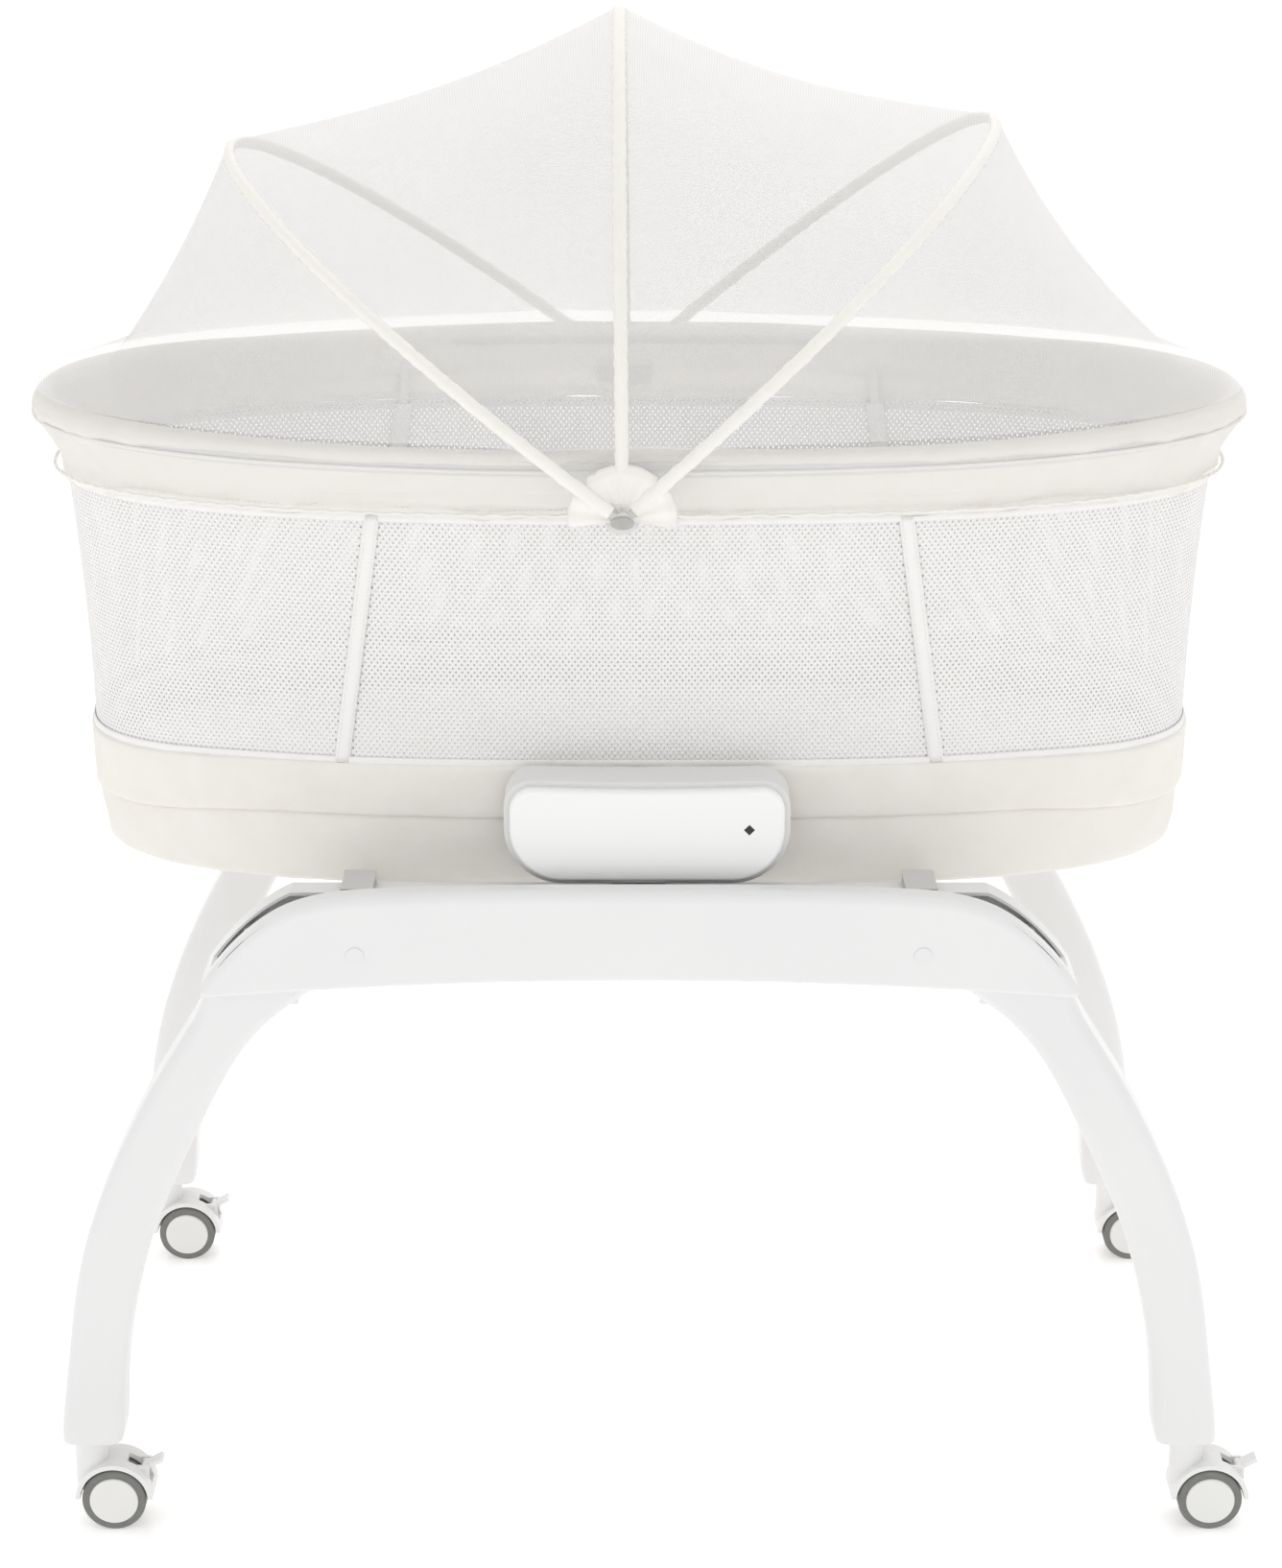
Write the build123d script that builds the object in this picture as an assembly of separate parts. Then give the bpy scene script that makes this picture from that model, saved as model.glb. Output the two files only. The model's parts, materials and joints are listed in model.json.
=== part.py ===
from build123d import *
import math
import os

# Rocking bassinet on a wheeled stand, in millimetres.
# X runs along the beams, Y from front to back, Z up. The origin is on the floor under the middle.

os.makedirs("parts", exist_ok=True)

# ---- stand: overall
WHEEL_TRACK = 858.0         # between the left and right caster stems
WHEEL_BASE = 500.0          # between the front and rear caster stems
LEG_FOOT_Z = 75.0           # underside of a leg
BEAM_LENGTH = 654.0         # tip to tip
BEAM_CROWN_Z = 534.0        # top of a beam at mid length
BEAM_HEIGHT = 70.0          # at mid length
BEAM_DEPTH = 68.0           # front to back
BEAM_BOW = 14.0             # how far the lower edge drops from the middle to the tips
BEAM_TIP_HEIGHT = 9.0
COVER_WALL = 2.5
SLOT_WIDTH = 24.0           # opening along the top of a beam
FLOOR_LIP = 1.5             # the slot's floor turns up this far at the beam's tips
BACK_COVER_DROP = 15.0      # the back cover's flat top lies this far below the crown
TOP_ROUND = 8.0             # rounding of the front cover's long edges
LOW_ROUND = 3.5
LEG_TOP_INSET = 47.0        # from the beam's tip to the middle of the leg's top
LEG_FOOT_OFFSET = 3.0       # the leg's foot stands this far inboard of the stem
LEG_CORNER = 11.0
TENON_SIZE = (50.0, 44.0, 36.0)
CROSS_TUBE_X = 160.0
CROSS_TUBE_RADIUS = 11.0
CROSS_TUBE_WALL = 2.0
TUBE_GAP = 0.5              # between a cross tube and the cover it passes through
CROSS_TUBE_DROP = 60.0      # its axis lies this far below the crown

# Leg stations from foot to top: share of height, share of lean, width, depth.
LEG_STATIONS = (
    (0.00, 0.000, 46.0, 44.0),
    (0.14, 0.035, 46.0, 45.0),
    (0.30, 0.095, 47.0, 50.0),
    (0.45, 0.190, 50.0, 58.0),
    (0.60, 0.335, 52.0, 62.0),
    (0.75, 0.520, 52.0, 61.0),
    (0.88, 0.720, 52.0, 58.0),
    (0.96, 0.885, 66.0, 56.0),
    (1.03, 1.010, 104.0, 56.0),
)

# ---- swing mechanism inside the beams
LINK_X = 211.0
UPPER_PIN_DROP = 20.0       # below the crown
LINK_LENGTH = 30.0          # between a link's two pins
PIN_RADIUS = 4.0
PIN_SHOULDER = 6.0
RUN_GAP = 0.05              # radial gap of every running fit
LINK_THICK = 6.0
LINK_WIDTH = 16.0
PLATE_THICK = 4.0
PLATE_HEIGHT = 20.0
EAR_WIDTH = 28.0
BOLT_RADIUS = 3.0
BOLT_STEP = 12.0            # each bolt stands this far from the leg's middle
BOLT_HEAD = (5.0, 3.6)
PLUG_RADIUS = 7.0

# ---- casters
WHEEL_RADIUS = 25.0
TYRE_DEPTH = 6.0
WHEEL_WIDTH = 15.0
CASTER_TRAIL = 18.0
WEB_THICK = 6.0
HOOD_GAP = 1.6
HOOD_WALL = 3.6
AXLE_RADIUS = 4.0
STEM_RADIUS = 5.0
STEM_LENGTH = 38.0          # inside the leg
STEM_FOOT = 25.0            # above the wheel's centre
BOSS_RADIUS = 13.0
BRAKE_PIVOT = (23.5, 21.5)  # from the wheel's centre, backwards and up
BRAKE_WIDTH = 13.0
BRAKE_PIN_RADIUS = 1.6
BRAKE_EAR = 3.0

# ---- carriage and control box
CARRIAGE_TUBE = 7.0
RAIL_RADIUS = 5.8
CARRIAGE_DROP = 36.5        # tube axis below the crown
RAIL_Y = 130.0
ARM_WIDTH = 24.0
ARM_THICK = 6.0
BRIDGE_THICK = 4.0          # the arm's level part over the back cover
BRIDGE_GAP = 3.0            # room under it for the swing's rise
BOX_SIZE = (214.0, 46.0, 82.0)
BOX_X = 6.0
BOX_FLOOR_GAP = 1.0
BOX_WALL = 2.5
PANEL_INSET = 4.5
PANEL_THICK = 8.0
FLANGE_THICK = 3.0          # the housing's front flange, which the panel closes on
LIP_INSET = 2.0             # the panel's rear lip, drawn in from its edge
LIP_GAP = 0.2
LENS_SIDE = 5.8
LENS_X = 76.0
LENS_Z = 45.0
INLET_RADIUS = 3.0
INLET_DEPTH = 10.0
INLET_WALL = 2.5

# ---- basket
BASE_HALF = (424.0, 190.0)
BASE_DROP = 27.0            # the base's lower edge lies this far below the beams' crown
BAND_HEIGHT = 96.0
BAND_HALF = (433.0, 195.0)
MESH_HEIGHT = 197.0
HEM_HALF = (447.0, 212.0)
RIM_HALF = (475.0, 256.0)
RIM_HEIGHT = 63.0
BASE_POWER = 2.9            # exponent of the oval outline, 2 is an ellipse
RIM_POWER = 2.25
COVER_CLOTH = 4.0
MESH_CLOTH = 2.0
BOARD_THICK = 8.0
MATTRESS_THICK = 56.0
MATTRESS_GAP = 8.0
LOWER_HOOP_RADIUS = 6.0
UPPER_HOOP_RADIUS = 8.0
UPRIGHT_RADIUS = 4.0
UPRIGHT_X = (225.0, 197.0)
SOFT_GAP = 0.4

# ---- canopy
HUB_X = -12.0
HUB_RISE = 15.0             # above the rim's hem
HUB_Y = 274.0               # centre of the innermost bow's eyelet
BOW_PITCH = 5.0             # spacing of the three eyelets on the rivet
BOW_RADIUS = 2.2
EYELET = (7.0, 4.6)          # outer radius and thickness
RIVET_RADIUS = 3.0
RIVET_HEAD = (8.5, 4.5, 2.4)
BOWS = {                    # lean from upright, reach, place on the rivet
    "left": (-53.0, 378.0, 2),
    "center": (-0.5, 330.0, 0),
    "right": (49.0, 377.0, 1),
}
NET_LIFT = 3.6
NET_THICK = 0.9
NET_FOOT = 42.0

# ---- sizes that follow
UPPER_PIN_Z = BEAM_CROWN_Z - UPPER_PIN_DROP
LOWER_PIN_Z = UPPER_PIN_Z - LINK_LENGTH
BASE_Z = BEAM_CROWN_Z - BASE_DROP
BAND_Z = BASE_Z + BAND_HEIGHT
HEM_Z = BAND_Z + MESH_HEIGHT
RIM_Z = HEM_Z + RIM_HEIGHT
HUB_Z = HEM_Z + HUB_RISE
BEAM_Y = WHEEL_BASE / 2
BEAM_HALF = BEAM_LENGTH / 2
BEAM_FLOOR_Z = BEAM_CROWN_Z - BEAM_HEIGHT
BACK_TOP_Z = BEAM_CROWN_Z - BACK_COVER_DROP
FACE_Y = BEAM_Y + BEAM_DEPTH / 2
INNER_Y = BEAM_Y - BEAM_DEPTH / 2
SLOT_OUT_Y = BEAM_Y + SLOT_WIDTH / 2 + 2.0
SLOT_IN_Y = SLOT_OUT_Y - SLOT_WIDTH
PLATE_OUT_Y = FACE_Y - COVER_WALL - BOLT_HEAD[1] - 1.9
PLATE_IN_Y = PLATE_OUT_Y - PLATE_THICK
LINK_OUT_Y = SLOT_OUT_Y - 2.0
LINK_IN_Y = LINK_OUT_Y - LINK_THICK
ARM_OUT_Y = LINK_IN_Y - 4.0
ARM_IN_Y = ARM_OUT_Y - ARM_THICK
ARM_TOP_Z = BACK_TOP_Z + BRIDGE_GAP + BRIDGE_THICK
RISER_OUT_Y = INNER_Y - 2.5
TUBE_Z = BEAM_CROWN_Z - CROSS_TUBE_DROP
CARRIAGE_Z = BEAM_CROWN_Z - CARRIAGE_DROP
LEG_TOP_Z = BEAM_FLOOR_Z - BEAM_BOW * 0.72
LEG_TOP_X = BEAM_HALF - LEG_TOP_INSET
BOX_FRONT_Y = ARM_OUT_Y - 1.0
BOX_BACK_Y = BOX_FRONT_Y - BOX_SIZE[1]
BOX_FLOOR_Z = ARM_TOP_Z + BOX_FLOOR_GAP


def save(shape, name):
    """Write one sub-part to its own file."""
    part = shape if isinstance(shape, Compound) else Compound(children=[shape])
    export_step(part, f"parts/{name}.step")


def group(solids):
    """Several like pieces in one file."""
    return Compound(children=[s for item in solids for s in item.solids()])


def box(low, high):
    """A box between two corners."""
    size = [b - a for a, b in zip(low, high)]
    middle = [(a + b) / 2 for a, b in zip(low, high)]
    return Pos(*middle) * Box(*size)


def rod_y(x, z, y_start, y_end, radius):
    """A round bar along Y."""
    length = y_end - y_start
    return Pos(x, (y_start + y_end) / 2, z) * Rot(X=90) * Cylinder(radius, abs(length))


def rod_z(x, y, z_start, z_end, radius):
    """A round bar along Z."""
    return Pos(x, y, (z_start + z_end) / 2) * Cylinder(radius, z_end - z_start)


def bar(start, end, radius):
    """A round bar between two points."""
    axis = Vector(*end) - Vector(*start)
    plane = Plane(origin=start, z_dir=axis)
    return extrude(plane * Circle(radius), axis.length)


def mirror_back(shape):
    """The same piece on the rear side."""
    return mirror(shape, Plane.XZ)


def mirror_left(shape):
    """The same piece on the other end."""
    return mirror(shape, Plane.YZ)


def oval_points(half_x, half_y, power, z, start=0.0, sweep=360.0, count=40):
    """Points of a rounded oval: an ellipse for power 2, squarer above that."""
    points = []
    steps = count if sweep == 360.0 else count + 1
    for i in range(steps):
        angle = math.radians(start + sweep * i / count)
        c = math.cos(angle)
        s = math.sin(angle)
        scale = (abs(c) ** power + abs(s) ** power) ** (-1 / power)
        points.append((half_x * c * scale, half_y * s * scale, z))
    return points


def oval(half_x, half_y, power, z):
    """A closed oval outline at one height."""
    return Wire([Spline(*oval_points(half_x, half_y, power, z), periodic=True)])


def oval_body(levels):
    """A solid through ovals given as height, half length, half depth, power."""
    return Solid.make_loft([oval(a, b, n, z) for z, a, b, n in levels])


def oval_hoop(half_x, half_y, power, z, radius):
    """A tube bent into a closed oval."""
    path = oval(half_x, half_y, power, z)
    section = Plane(origin=(half_x, 0, z), x_dir=(1, 0, 0), z_dir=(0, 1, 0)) * Circle(radius)
    return sweep(section, path=path)


# ---------------------------------------------------------------- stand

def beam_profile(inset, flat_z):
    """Front outline of a beam cover: arched below, shouldered above, cut level at flat_z."""
    tip_z = BEAM_FLOOR_Z - BEAM_BOW + inset
    h = BEAM_HALF - inset
    crown = BEAM_CROWN_Z - inset
    rise = crown - tip_z
    right = [
        (h, tip_z + BEAM_TIP_HEIGHT - 2 * inset),
        (h - 27, tip_z + rise * 0.50),
        (h - 63, tip_z + rise * 0.81),
        (h - 134, tip_z + rise * 0.965),
    ]
    left = [(-x, z) for x, z in reversed(right)]
    top = Spline(*(right + [(0, crown)] + left))
    lower = ThreePointArc((-h, tip_z), (0, BEAM_FLOOR_Z + inset), (h, tip_z))
    face = make_face([top, lower, Line((h, tip_z), right[0]), Line(left[-1], (-h, tip_z))])
    if flat_z < BEAM_CROWN_Z:
        face = face - Pos(0, flat_z - inset + BEAM_HEIGHT / 2) * Rectangle(BEAM_LENGTH, BEAM_HEIGHT)
    return face


def beam_slab(flat_z, inset, y_front, y_back):
    """The beam's outline, drawn in by a wall, as a slab between two depths."""
    plane = Plane(origin=(0, y_back, 0), x_dir=(1, 0, 0), z_dir=(0, -1, 0))
    return extrude(plane * beam_profile(inset, flat_z), y_back - y_front)


def tenon_window():
    """Openings in the covers for the legs' tenons."""
    gap = 0.4
    cuts = []
    for side in (-1, 1):
        half_x = TENON_SIZE[0] / 2 + gap
        half_y = TENON_SIZE[1] / 2 + gap
        low = (side * LEG_TOP_X - half_x, -BEAM_Y - half_y, LEG_TOP_Z - 14)
        cuts.append(box(low, (side * LEG_TOP_X + half_x, -BEAM_Y + half_y, LEG_TOP_Z + 20)))
    return cuts


def front_cover():
    """Outer half of the front beam's casing."""
    shell = beam_slab(BEAM_CROWN_Z, 0, -FACE_Y, -SLOT_OUT_Y)
    upper_edge = shell.faces().sort_by(Axis.Y)[0].edges().sort_by(SortBy.LENGTH)[-1]
    shell = fillet(upper_edge, TOP_ROUND)
    lower_edge = shell.faces().sort_by(Axis.Y)[0].edges().sort_by(Axis.Z)[0]
    shell = fillet(lower_edge, LOW_ROUND)
    shell = shell - beam_slab(BEAM_CROWN_Z, COVER_WALL, -FACE_Y + COVER_WALL, -SLOT_OUT_Y + 1)
    hole = (LOWER_PIN_Z, -FACE_Y - 1, -FACE_Y + COVER_WALL + 1, PLUG_RADIUS)
    for side in (-1, 1):
        shell = shell - rod_y(side * LINK_X, *hole)
    for cut in tenon_window():
        shell = shell - cut
    return shell


def back_cover():
    """Inner half of the front beam's casing, with the floor of the slot."""
    shell = beam_slab(BACK_TOP_Z, 0, -SLOT_OUT_Y, -INNER_Y)
    shell = shell - beam_slab(BACK_TOP_Z, COVER_WALL, -SLOT_OUT_Y - 1, -INNER_Y - COVER_WALL)
    lip_z = BEAM_FLOOR_Z + COVER_WALL + FLOOR_LIP
    slot_low = (-BEAM_HALF - 1, -SLOT_OUT_Y - 1, lip_z)
    shell = shell - box(slot_low, (BEAM_HALF + 1, -SLOT_IN_Y, BEAM_CROWN_Z))
    hole = (TUBE_Z, -SLOT_IN_Y, -INNER_Y + 1, CROSS_TUBE_RADIUS + TUBE_GAP)
    for side in (-1, 1):
        shell = shell - rod_y(side * CROSS_TUBE_X, *hole)
    for cut in tenon_window():
        shell = shell - cut
    return shell


def beam_frame():
    """Steel plate inside the front beam that carries the swing pins and the legs."""
    bar_low = BEAM_FLOOR_Z + COVER_WALL + 1.0
    half = LEG_TOP_X + TENON_SIZE[0] / 2 - 8
    plate = box((-half, -PLATE_OUT_Y, bar_low), (half, -PLATE_IN_Y, bar_low + PLATE_HEIGHT))
    plate_y = (PLATE_OUT_Y + PLATE_IN_Y) / 2
    neck = PIN_SHOULDER + 2
    for side in (-1, 1):
        x = side * LINK_X
        ear_low = (x - EAR_WIDTH / 2, -PLATE_OUT_Y, bar_low)
        ear = box(ear_low, (x + EAR_WIDTH / 2, -PLATE_IN_Y, UPPER_PIN_Z))
        crown = rod_y(x, UPPER_PIN_Z, -PLATE_OUT_Y, -PLATE_IN_Y, neck)
        plate = plate + ear + crown
        for step in (-1, 1):
            shoulder = Pos(x + step * (EAR_WIDTH + 2 * neck) / 4, -plate_y, UPPER_PIN_Z - neck / 2 + 0.5)
            plate = plate - shoulder * Box(EAR_WIDTH / 2 - neck, PLATE_THICK + 2, neck + 1)
        plate = plate - rod_y(x, UPPER_PIN_Z, -PLATE_OUT_Y - 1, -PLATE_IN_Y + 1, PIN_RADIUS)
        for step in (-1, 1):
            bolt_x = side * LEG_TOP_X + step * BOLT_STEP
            plate = plate - rod_y(bolt_x, bolt_z(), -PLATE_OUT_Y - 1, -PLATE_IN_Y + 1, BOLT_RADIUS)
    return plate


def bolt_z():
    """Height of the bolts that hold the legs."""
    return TUBE_Z + 4


def leg_bolts():
    """Two bolts for each leg of the front beam."""
    bolts = []
    for side in (-1, 1):
        for step in (-1, 1):
            x = side * LEG_TOP_X + step * BOLT_STEP
            head = rod_y(x, bolt_z(), -PLATE_OUT_Y - BOLT_HEAD[1], -PLATE_OUT_Y, BOLT_HEAD[0])
            shank = rod_y(x, bolt_z(), -PLATE_OUT_Y, -BEAM_Y + 2, BOLT_RADIUS)
            bolts.append(head + shank)
    return bolts


def upper_pins():
    """Fixed pins that the front links hang on."""
    pins = []
    for side in (-1, 1):
        x = side * LINK_X
        pin = rod_y(x, UPPER_PIN_Z, -PLATE_OUT_Y, -LINK_IN_Y + 1.4, PIN_RADIUS)
        collar = rod_y(x, UPPER_PIN_Z, -PLATE_IN_Y, -LINK_OUT_Y - 0.4, PIN_SHOULDER)
        flange = rod_y(x, UPPER_PIN_Z, -LINK_IN_Y + 0.4, -LINK_IN_Y + 1.4, PIN_SHOULDER)
        pins.append(pin + collar + flange)
    return pins


def cover_plugs():
    """Caps over the access holes of the lower pins."""
    plugs = []
    for side in (-1, 1):
        x = side * LINK_X
        face = rod_y(x, LOWER_PIN_Z, -FACE_Y - 0.6, -FACE_Y + COVER_WALL, PLUG_RADIUS - RUN_GAP)
        lip = rod_y(x, LOWER_PIN_Z, -FACE_Y + COVER_WALL, -FACE_Y + COVER_WALL + 1.2, PLUG_RADIUS + 1)
        plugs.append(face + lip)
    return plugs


def leg_front_right():
    """One leg: a curved, tapered moulding with a tenon above and a stem bore below."""
    foot_x = WHEEL_TRACK / 2 - LEG_FOOT_OFFSET
    wires = []
    for up, lean, width, depth in LEG_STATIONS:
        x = foot_x + (LEG_TOP_X - foot_x) * lean
        z = LEG_FOOT_Z + (LEG_TOP_Z - LEG_FOOT_Z) * up
        outline = Pos(x, -BEAM_Y, z) * RectangleRounded(width, depth, LEG_CORNER)
        wires.append(outline.wire())
    leg = Solid.make_loft(wires)
    leg = leg - beam_slab(BEAM_CROWN_Z, 0, -FACE_Y - 10, -INNER_Y + 10)
    leg = leg.solids().sort_by(Axis.Z)[0]
    low = (LEG_TOP_X - TENON_SIZE[0] / 2, -BEAM_Y - TENON_SIZE[1] / 2, LEG_TOP_Z - 12)
    high = (LEG_TOP_X + TENON_SIZE[0] / 2, -BEAM_Y + TENON_SIZE[1] / 2, LEG_TOP_Z + TENON_SIZE[2])
    tenon = box(low, high)
    tip = BEAM_HALF - 30
    tenon = tenon - box((tip, -FACE_Y, LEG_TOP_Z + 12), (BEAM_HALF, -INNER_Y, BEAM_CROWN_Z))
    leg = leg + tenon
    for step in (-1, 1):
        x = LEG_TOP_X + step * BOLT_STEP
        leg = leg - rod_y(x, bolt_z(), -FACE_Y, -BEAM_Y + 2, BOLT_RADIUS)
    bore_top = LEG_FOOT_Z + STEM_LENGTH + 2
    return leg - rod_z(WHEEL_TRACK / 2, -BEAM_Y, LEG_FOOT_Z - 1, bore_top, STEM_RADIUS + RUN_GAP)


def cross_tubes():
    """Two tubes that tie the front and rear beams together."""
    tubes = []
    for side in (-1, 1):
        outer = rod_y(side * CROSS_TUBE_X, TUBE_Z, -PLATE_IN_Y, PLATE_IN_Y, CROSS_TUBE_RADIUS)
        inner_radius = CROSS_TUBE_RADIUS - CROSS_TUBE_WALL
        bore = rod_y(side * CROSS_TUBE_X, TUBE_Z, -PLATE_IN_Y, PLATE_IN_Y, inner_radius)
        tubes.append(outer - bore)
    return tubes


def drive_coil():
    """Flat coil that pulls the carriage's magnet from side to side."""
    back = -PLATE_IN_Y
    face = -LINK_OUT_Y - 0.5
    coil = box((-30, back, TUBE_Z + 2), (30, face, TUBE_Z + 28))
    return coil - box((-16, back - 1, TUBE_Z + 9), (16, face + 1, TUBE_Z + 21))


def make_stand():
    cover = front_cover()
    back = back_cover()
    frame = beam_frame()
    save(cover, "front_beam_cover")
    save(back, "front_beam_back_cover")
    save(mirror_back(cover), "rear_beam_cover")
    save(mirror_back(back), "rear_beam_back_cover")
    save(group([frame, mirror_back(frame)]), "beam_frames")
    leg = leg_front_right()
    save(leg, "leg_front_right")
    save(mirror_left(leg), "leg_front_left")
    save(mirror_back(leg), "leg_rear_right")
    save(mirror_left(mirror_back(leg)), "leg_rear_left")
    save(group(cross_tubes()), "cross_tubes")
    small = {"leg_bolts": leg_bolts(), "link_pins": upper_pins(), "cover_plugs": cover_plugs()}
    for name, pieces in small.items():
        save(group(pieces + [mirror_back(p) for p in pieces]), name)
    save(drive_coil(), "drive_coil")


# ---------------------------------------------------------------- casters

def caster_housing():
    """Hood, web between the wheels and swivel boss, with the wheel's centre at the origin."""
    inner = WHEEL_RADIUS + HOOD_GAP
    outer = inner + HOOD_WALL
    half = WEB_THICK / 2 + 1 + WHEEL_WIDTH
    body = rod_y(0, 0, -half, half, outer)
    body = body - box((-outer - 1, -half - 1, -outer - 1), (outer + 1, half + 1, 1))
    top = LEG_FOOT_Z - WHEEL_RADIUS - 1.5
    body = body + rod_z(-CASTER_TRAIL, 0, 8, top, BOSS_RADIUS)
    pivot_x, pivot_z = BRAKE_PIVOT
    ear_y = BRAKE_WIDTH / 2 + BRAKE_EAR
    body = body + box((14, -ear_y, 14), (pivot_x + 3.5, ear_y, pivot_z + 3.5))
    for side in (-1, 1):
        low = min(side * WEB_THICK / 2, side * (half + 1))
        high = max(side * WEB_THICK / 2, side * (half + 1))
        body = body - rod_y(0, 0, low, high, inner)
    web = rod_y(0, 0, -WEB_THICK / 2, WEB_THICK / 2, AXLE_RADIUS + 5)
    body = body + web
    slot_y = BRAKE_WIDTH / 2 + SOFT_GAP
    body = body - box((10, -slot_y, 9), (outer + 12, slot_y, pivot_z + 12))
    body = body - rod_y(pivot_x, pivot_z, -half, half, BRAKE_PIN_RADIUS + RUN_GAP)
    body = body - rod_y(0, 0, -half, half, AXLE_RADIUS)
    body = body - rod_z(-CASTER_TRAIL, 0, STEM_FOOT, top + 1, STEM_RADIUS)
    return body.solids().sort_by(SortBy.VOLUME)[-1]


def caster_pins():
    """Swivel stem and wheel axle."""
    top = LEG_FOOT_Z - WHEEL_RADIUS
    half = WEB_THICK / 2 + 1 + WHEEL_WIDTH
    stem = rod_z(-CASTER_TRAIL, 0, STEM_FOOT, top + STEM_LENGTH, STEM_RADIUS)
    collar = rod_z(-CASTER_TRAIL, 0, top - 1.5, top - 0.3, STEM_RADIUS + 4)
    axle = rod_y(0, 0, -half + 3, half - 3, AXLE_RADIUS)
    return [stem + collar, axle]


def caster_tyres():
    """Grey tread rings of the twin wheels."""
    rings = []
    start = WEB_THICK / 2 + 1
    ring = rod_y(0, 0, start, start + WHEEL_WIDTH, WHEEL_RADIUS)
    ring = fillet(ring.edges(), 2.0)
    ring = ring - rod_y(0, 0, start - 1, start + WHEEL_WIDTH + 1, WHEEL_RADIUS - TYRE_DEPTH)
    rings.append(ring)
    rings.append(mirror_back(ring))
    return rings


def caster_hubs():
    """Domed wheel centres that run on the axle."""
    start = WEB_THICK / 2 + 1
    hub = rod_y(0, 0, start, start + WHEEL_WIDTH + 1.5, WHEEL_RADIUS - TYRE_DEPTH)
    rim = hub.faces().sort_by(Axis.Y)[-1].edges()
    hub = fillet(rim, 1.4)
    hub = hub - rod_y(0, 0, start - 1, start + WHEEL_WIDTH - 2.5, AXLE_RADIUS + RUN_GAP)
    return [hub, mirror_back(hub)]


def caster_brake():
    """Foot tab with a nose that presses on the treads."""
    x, z = BRAKE_PIVOT
    w = BRAKE_WIDTH / 2
    tab = Pos(x + 6.5, 0, z + 3.5) * Rot(Y=-28) * Box(16, 2 * w, 3.2)
    hub = rod_y(x, z, -w, w, 3.0)
    trunnion = rod_y(x, z, -w - BRAKE_EAR + SOFT_GAP, w + BRAKE_EAR - SOFT_GAP, BRAKE_PIN_RADIUS)
    return tab + hub + trunnion


def make_casters():
    housing = caster_housing()
    pins = caster_pins()
    tyres = caster_tyres()
    hubs = caster_hubs()
    brake = caster_brake()
    for y_name, y_sign in (("front", -1), ("rear", 1)):
        for x_name, x_sign in (("left", -1), ("right", 1)):
            x = x_sign * WHEEL_TRACK / 2 + CASTER_TRAIL
            place = Pos(x, y_sign * WHEEL_BASE / 2, WHEEL_RADIUS)
            name = f"caster_{y_name}_{x_name}"
            save(place * housing, f"{name}_housing")
            save(group([place * p for p in pins]), f"{name}_pins")
            save(group([place * p for p in tyres]), f"{name}_tyres")
            save(group([place * p for p in hubs]), f"{name}_hubs")
            save(place * brake, f"{name}_brake")


# ---------------------------------------------------------------- swing links

def link_front():
    """Flat link with an eye at each end, at the origin in X."""
    shape = box((-LINK_WIDTH / 2, -LINK_OUT_Y, LOWER_PIN_Z), (LINK_WIDTH / 2, -LINK_IN_Y, UPPER_PIN_Z))
    for z in (UPPER_PIN_Z, LOWER_PIN_Z):
        shape = shape + rod_y(0, z, -LINK_OUT_Y, -LINK_IN_Y, LINK_WIDTH / 2)
    for z in (UPPER_PIN_Z, LOWER_PIN_Z):
        shape = shape - rod_y(0, z, -LINK_OUT_Y - 1, -LINK_IN_Y + 1, PIN_RADIUS + RUN_GAP)
    return shape


def make_links():
    link = link_front()
    for x_name, side in (("left", -1), ("right", 1)):
        placed = Pos(side * LINK_X, 0, 0) * link
        save(placed, f"link_front_{x_name}")
        save(mirror_back(placed), f"link_rear_{x_name}")


# ---------------------------------------------------------------- carriage

def carriage_arm(x, half_width, foot_y):
    """Bracket that climbs over the back cover and drops into the slot."""
    low_z = LOWER_PIN_Z - 10
    riser_low = (x - half_width, -RISER_OUT_Y, CARRIAGE_Z - 5)
    riser = box(riser_low, (x + half_width, -RISER_OUT_Y + ARM_THICK, ARM_TOP_Z))
    bridge_low = (x - half_width, -ARM_OUT_Y, ARM_TOP_Z - BRIDGE_THICK)
    bridge = box(bridge_low, (x + half_width, -RISER_OUT_Y + ARM_THICK, ARM_TOP_Z))
    drop = box((x - half_width, -ARM_OUT_Y, low_z), (x + half_width, -ARM_IN_Y, ARM_TOP_Z))
    foot = rod_y(x, CARRIAGE_Z, -RISER_OUT_Y + 1, foot_y, CARRIAGE_TUBE)
    return riser + bridge + drop + foot


def carriage_frame():
    """Welded frame under the tray with its four hanger arms and the magnet arm."""
    frame = None
    for side in (-1, 1):
        x = side * LINK_X
        arm = carriage_arm(x, ARM_WIDTH / 2, 1)
        arm = arm - rod_y(x, LOWER_PIN_Z, -ARM_OUT_Y - 1, -ARM_IN_Y + 1, PIN_RADIUS)
        pair = arm + mirror_back(arm)
        frame = pair if frame is None else frame + pair
    for side in (-1, 1):
        rail = Pos(0, side * RAIL_Y, CARRIAGE_Z) * Rot(Y=90) * Cylinder(RAIL_RADIUS, 2 * LINK_X)
        frame = frame + rail
    return frame + carriage_arm(0, 20, -RAIL_Y)


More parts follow.
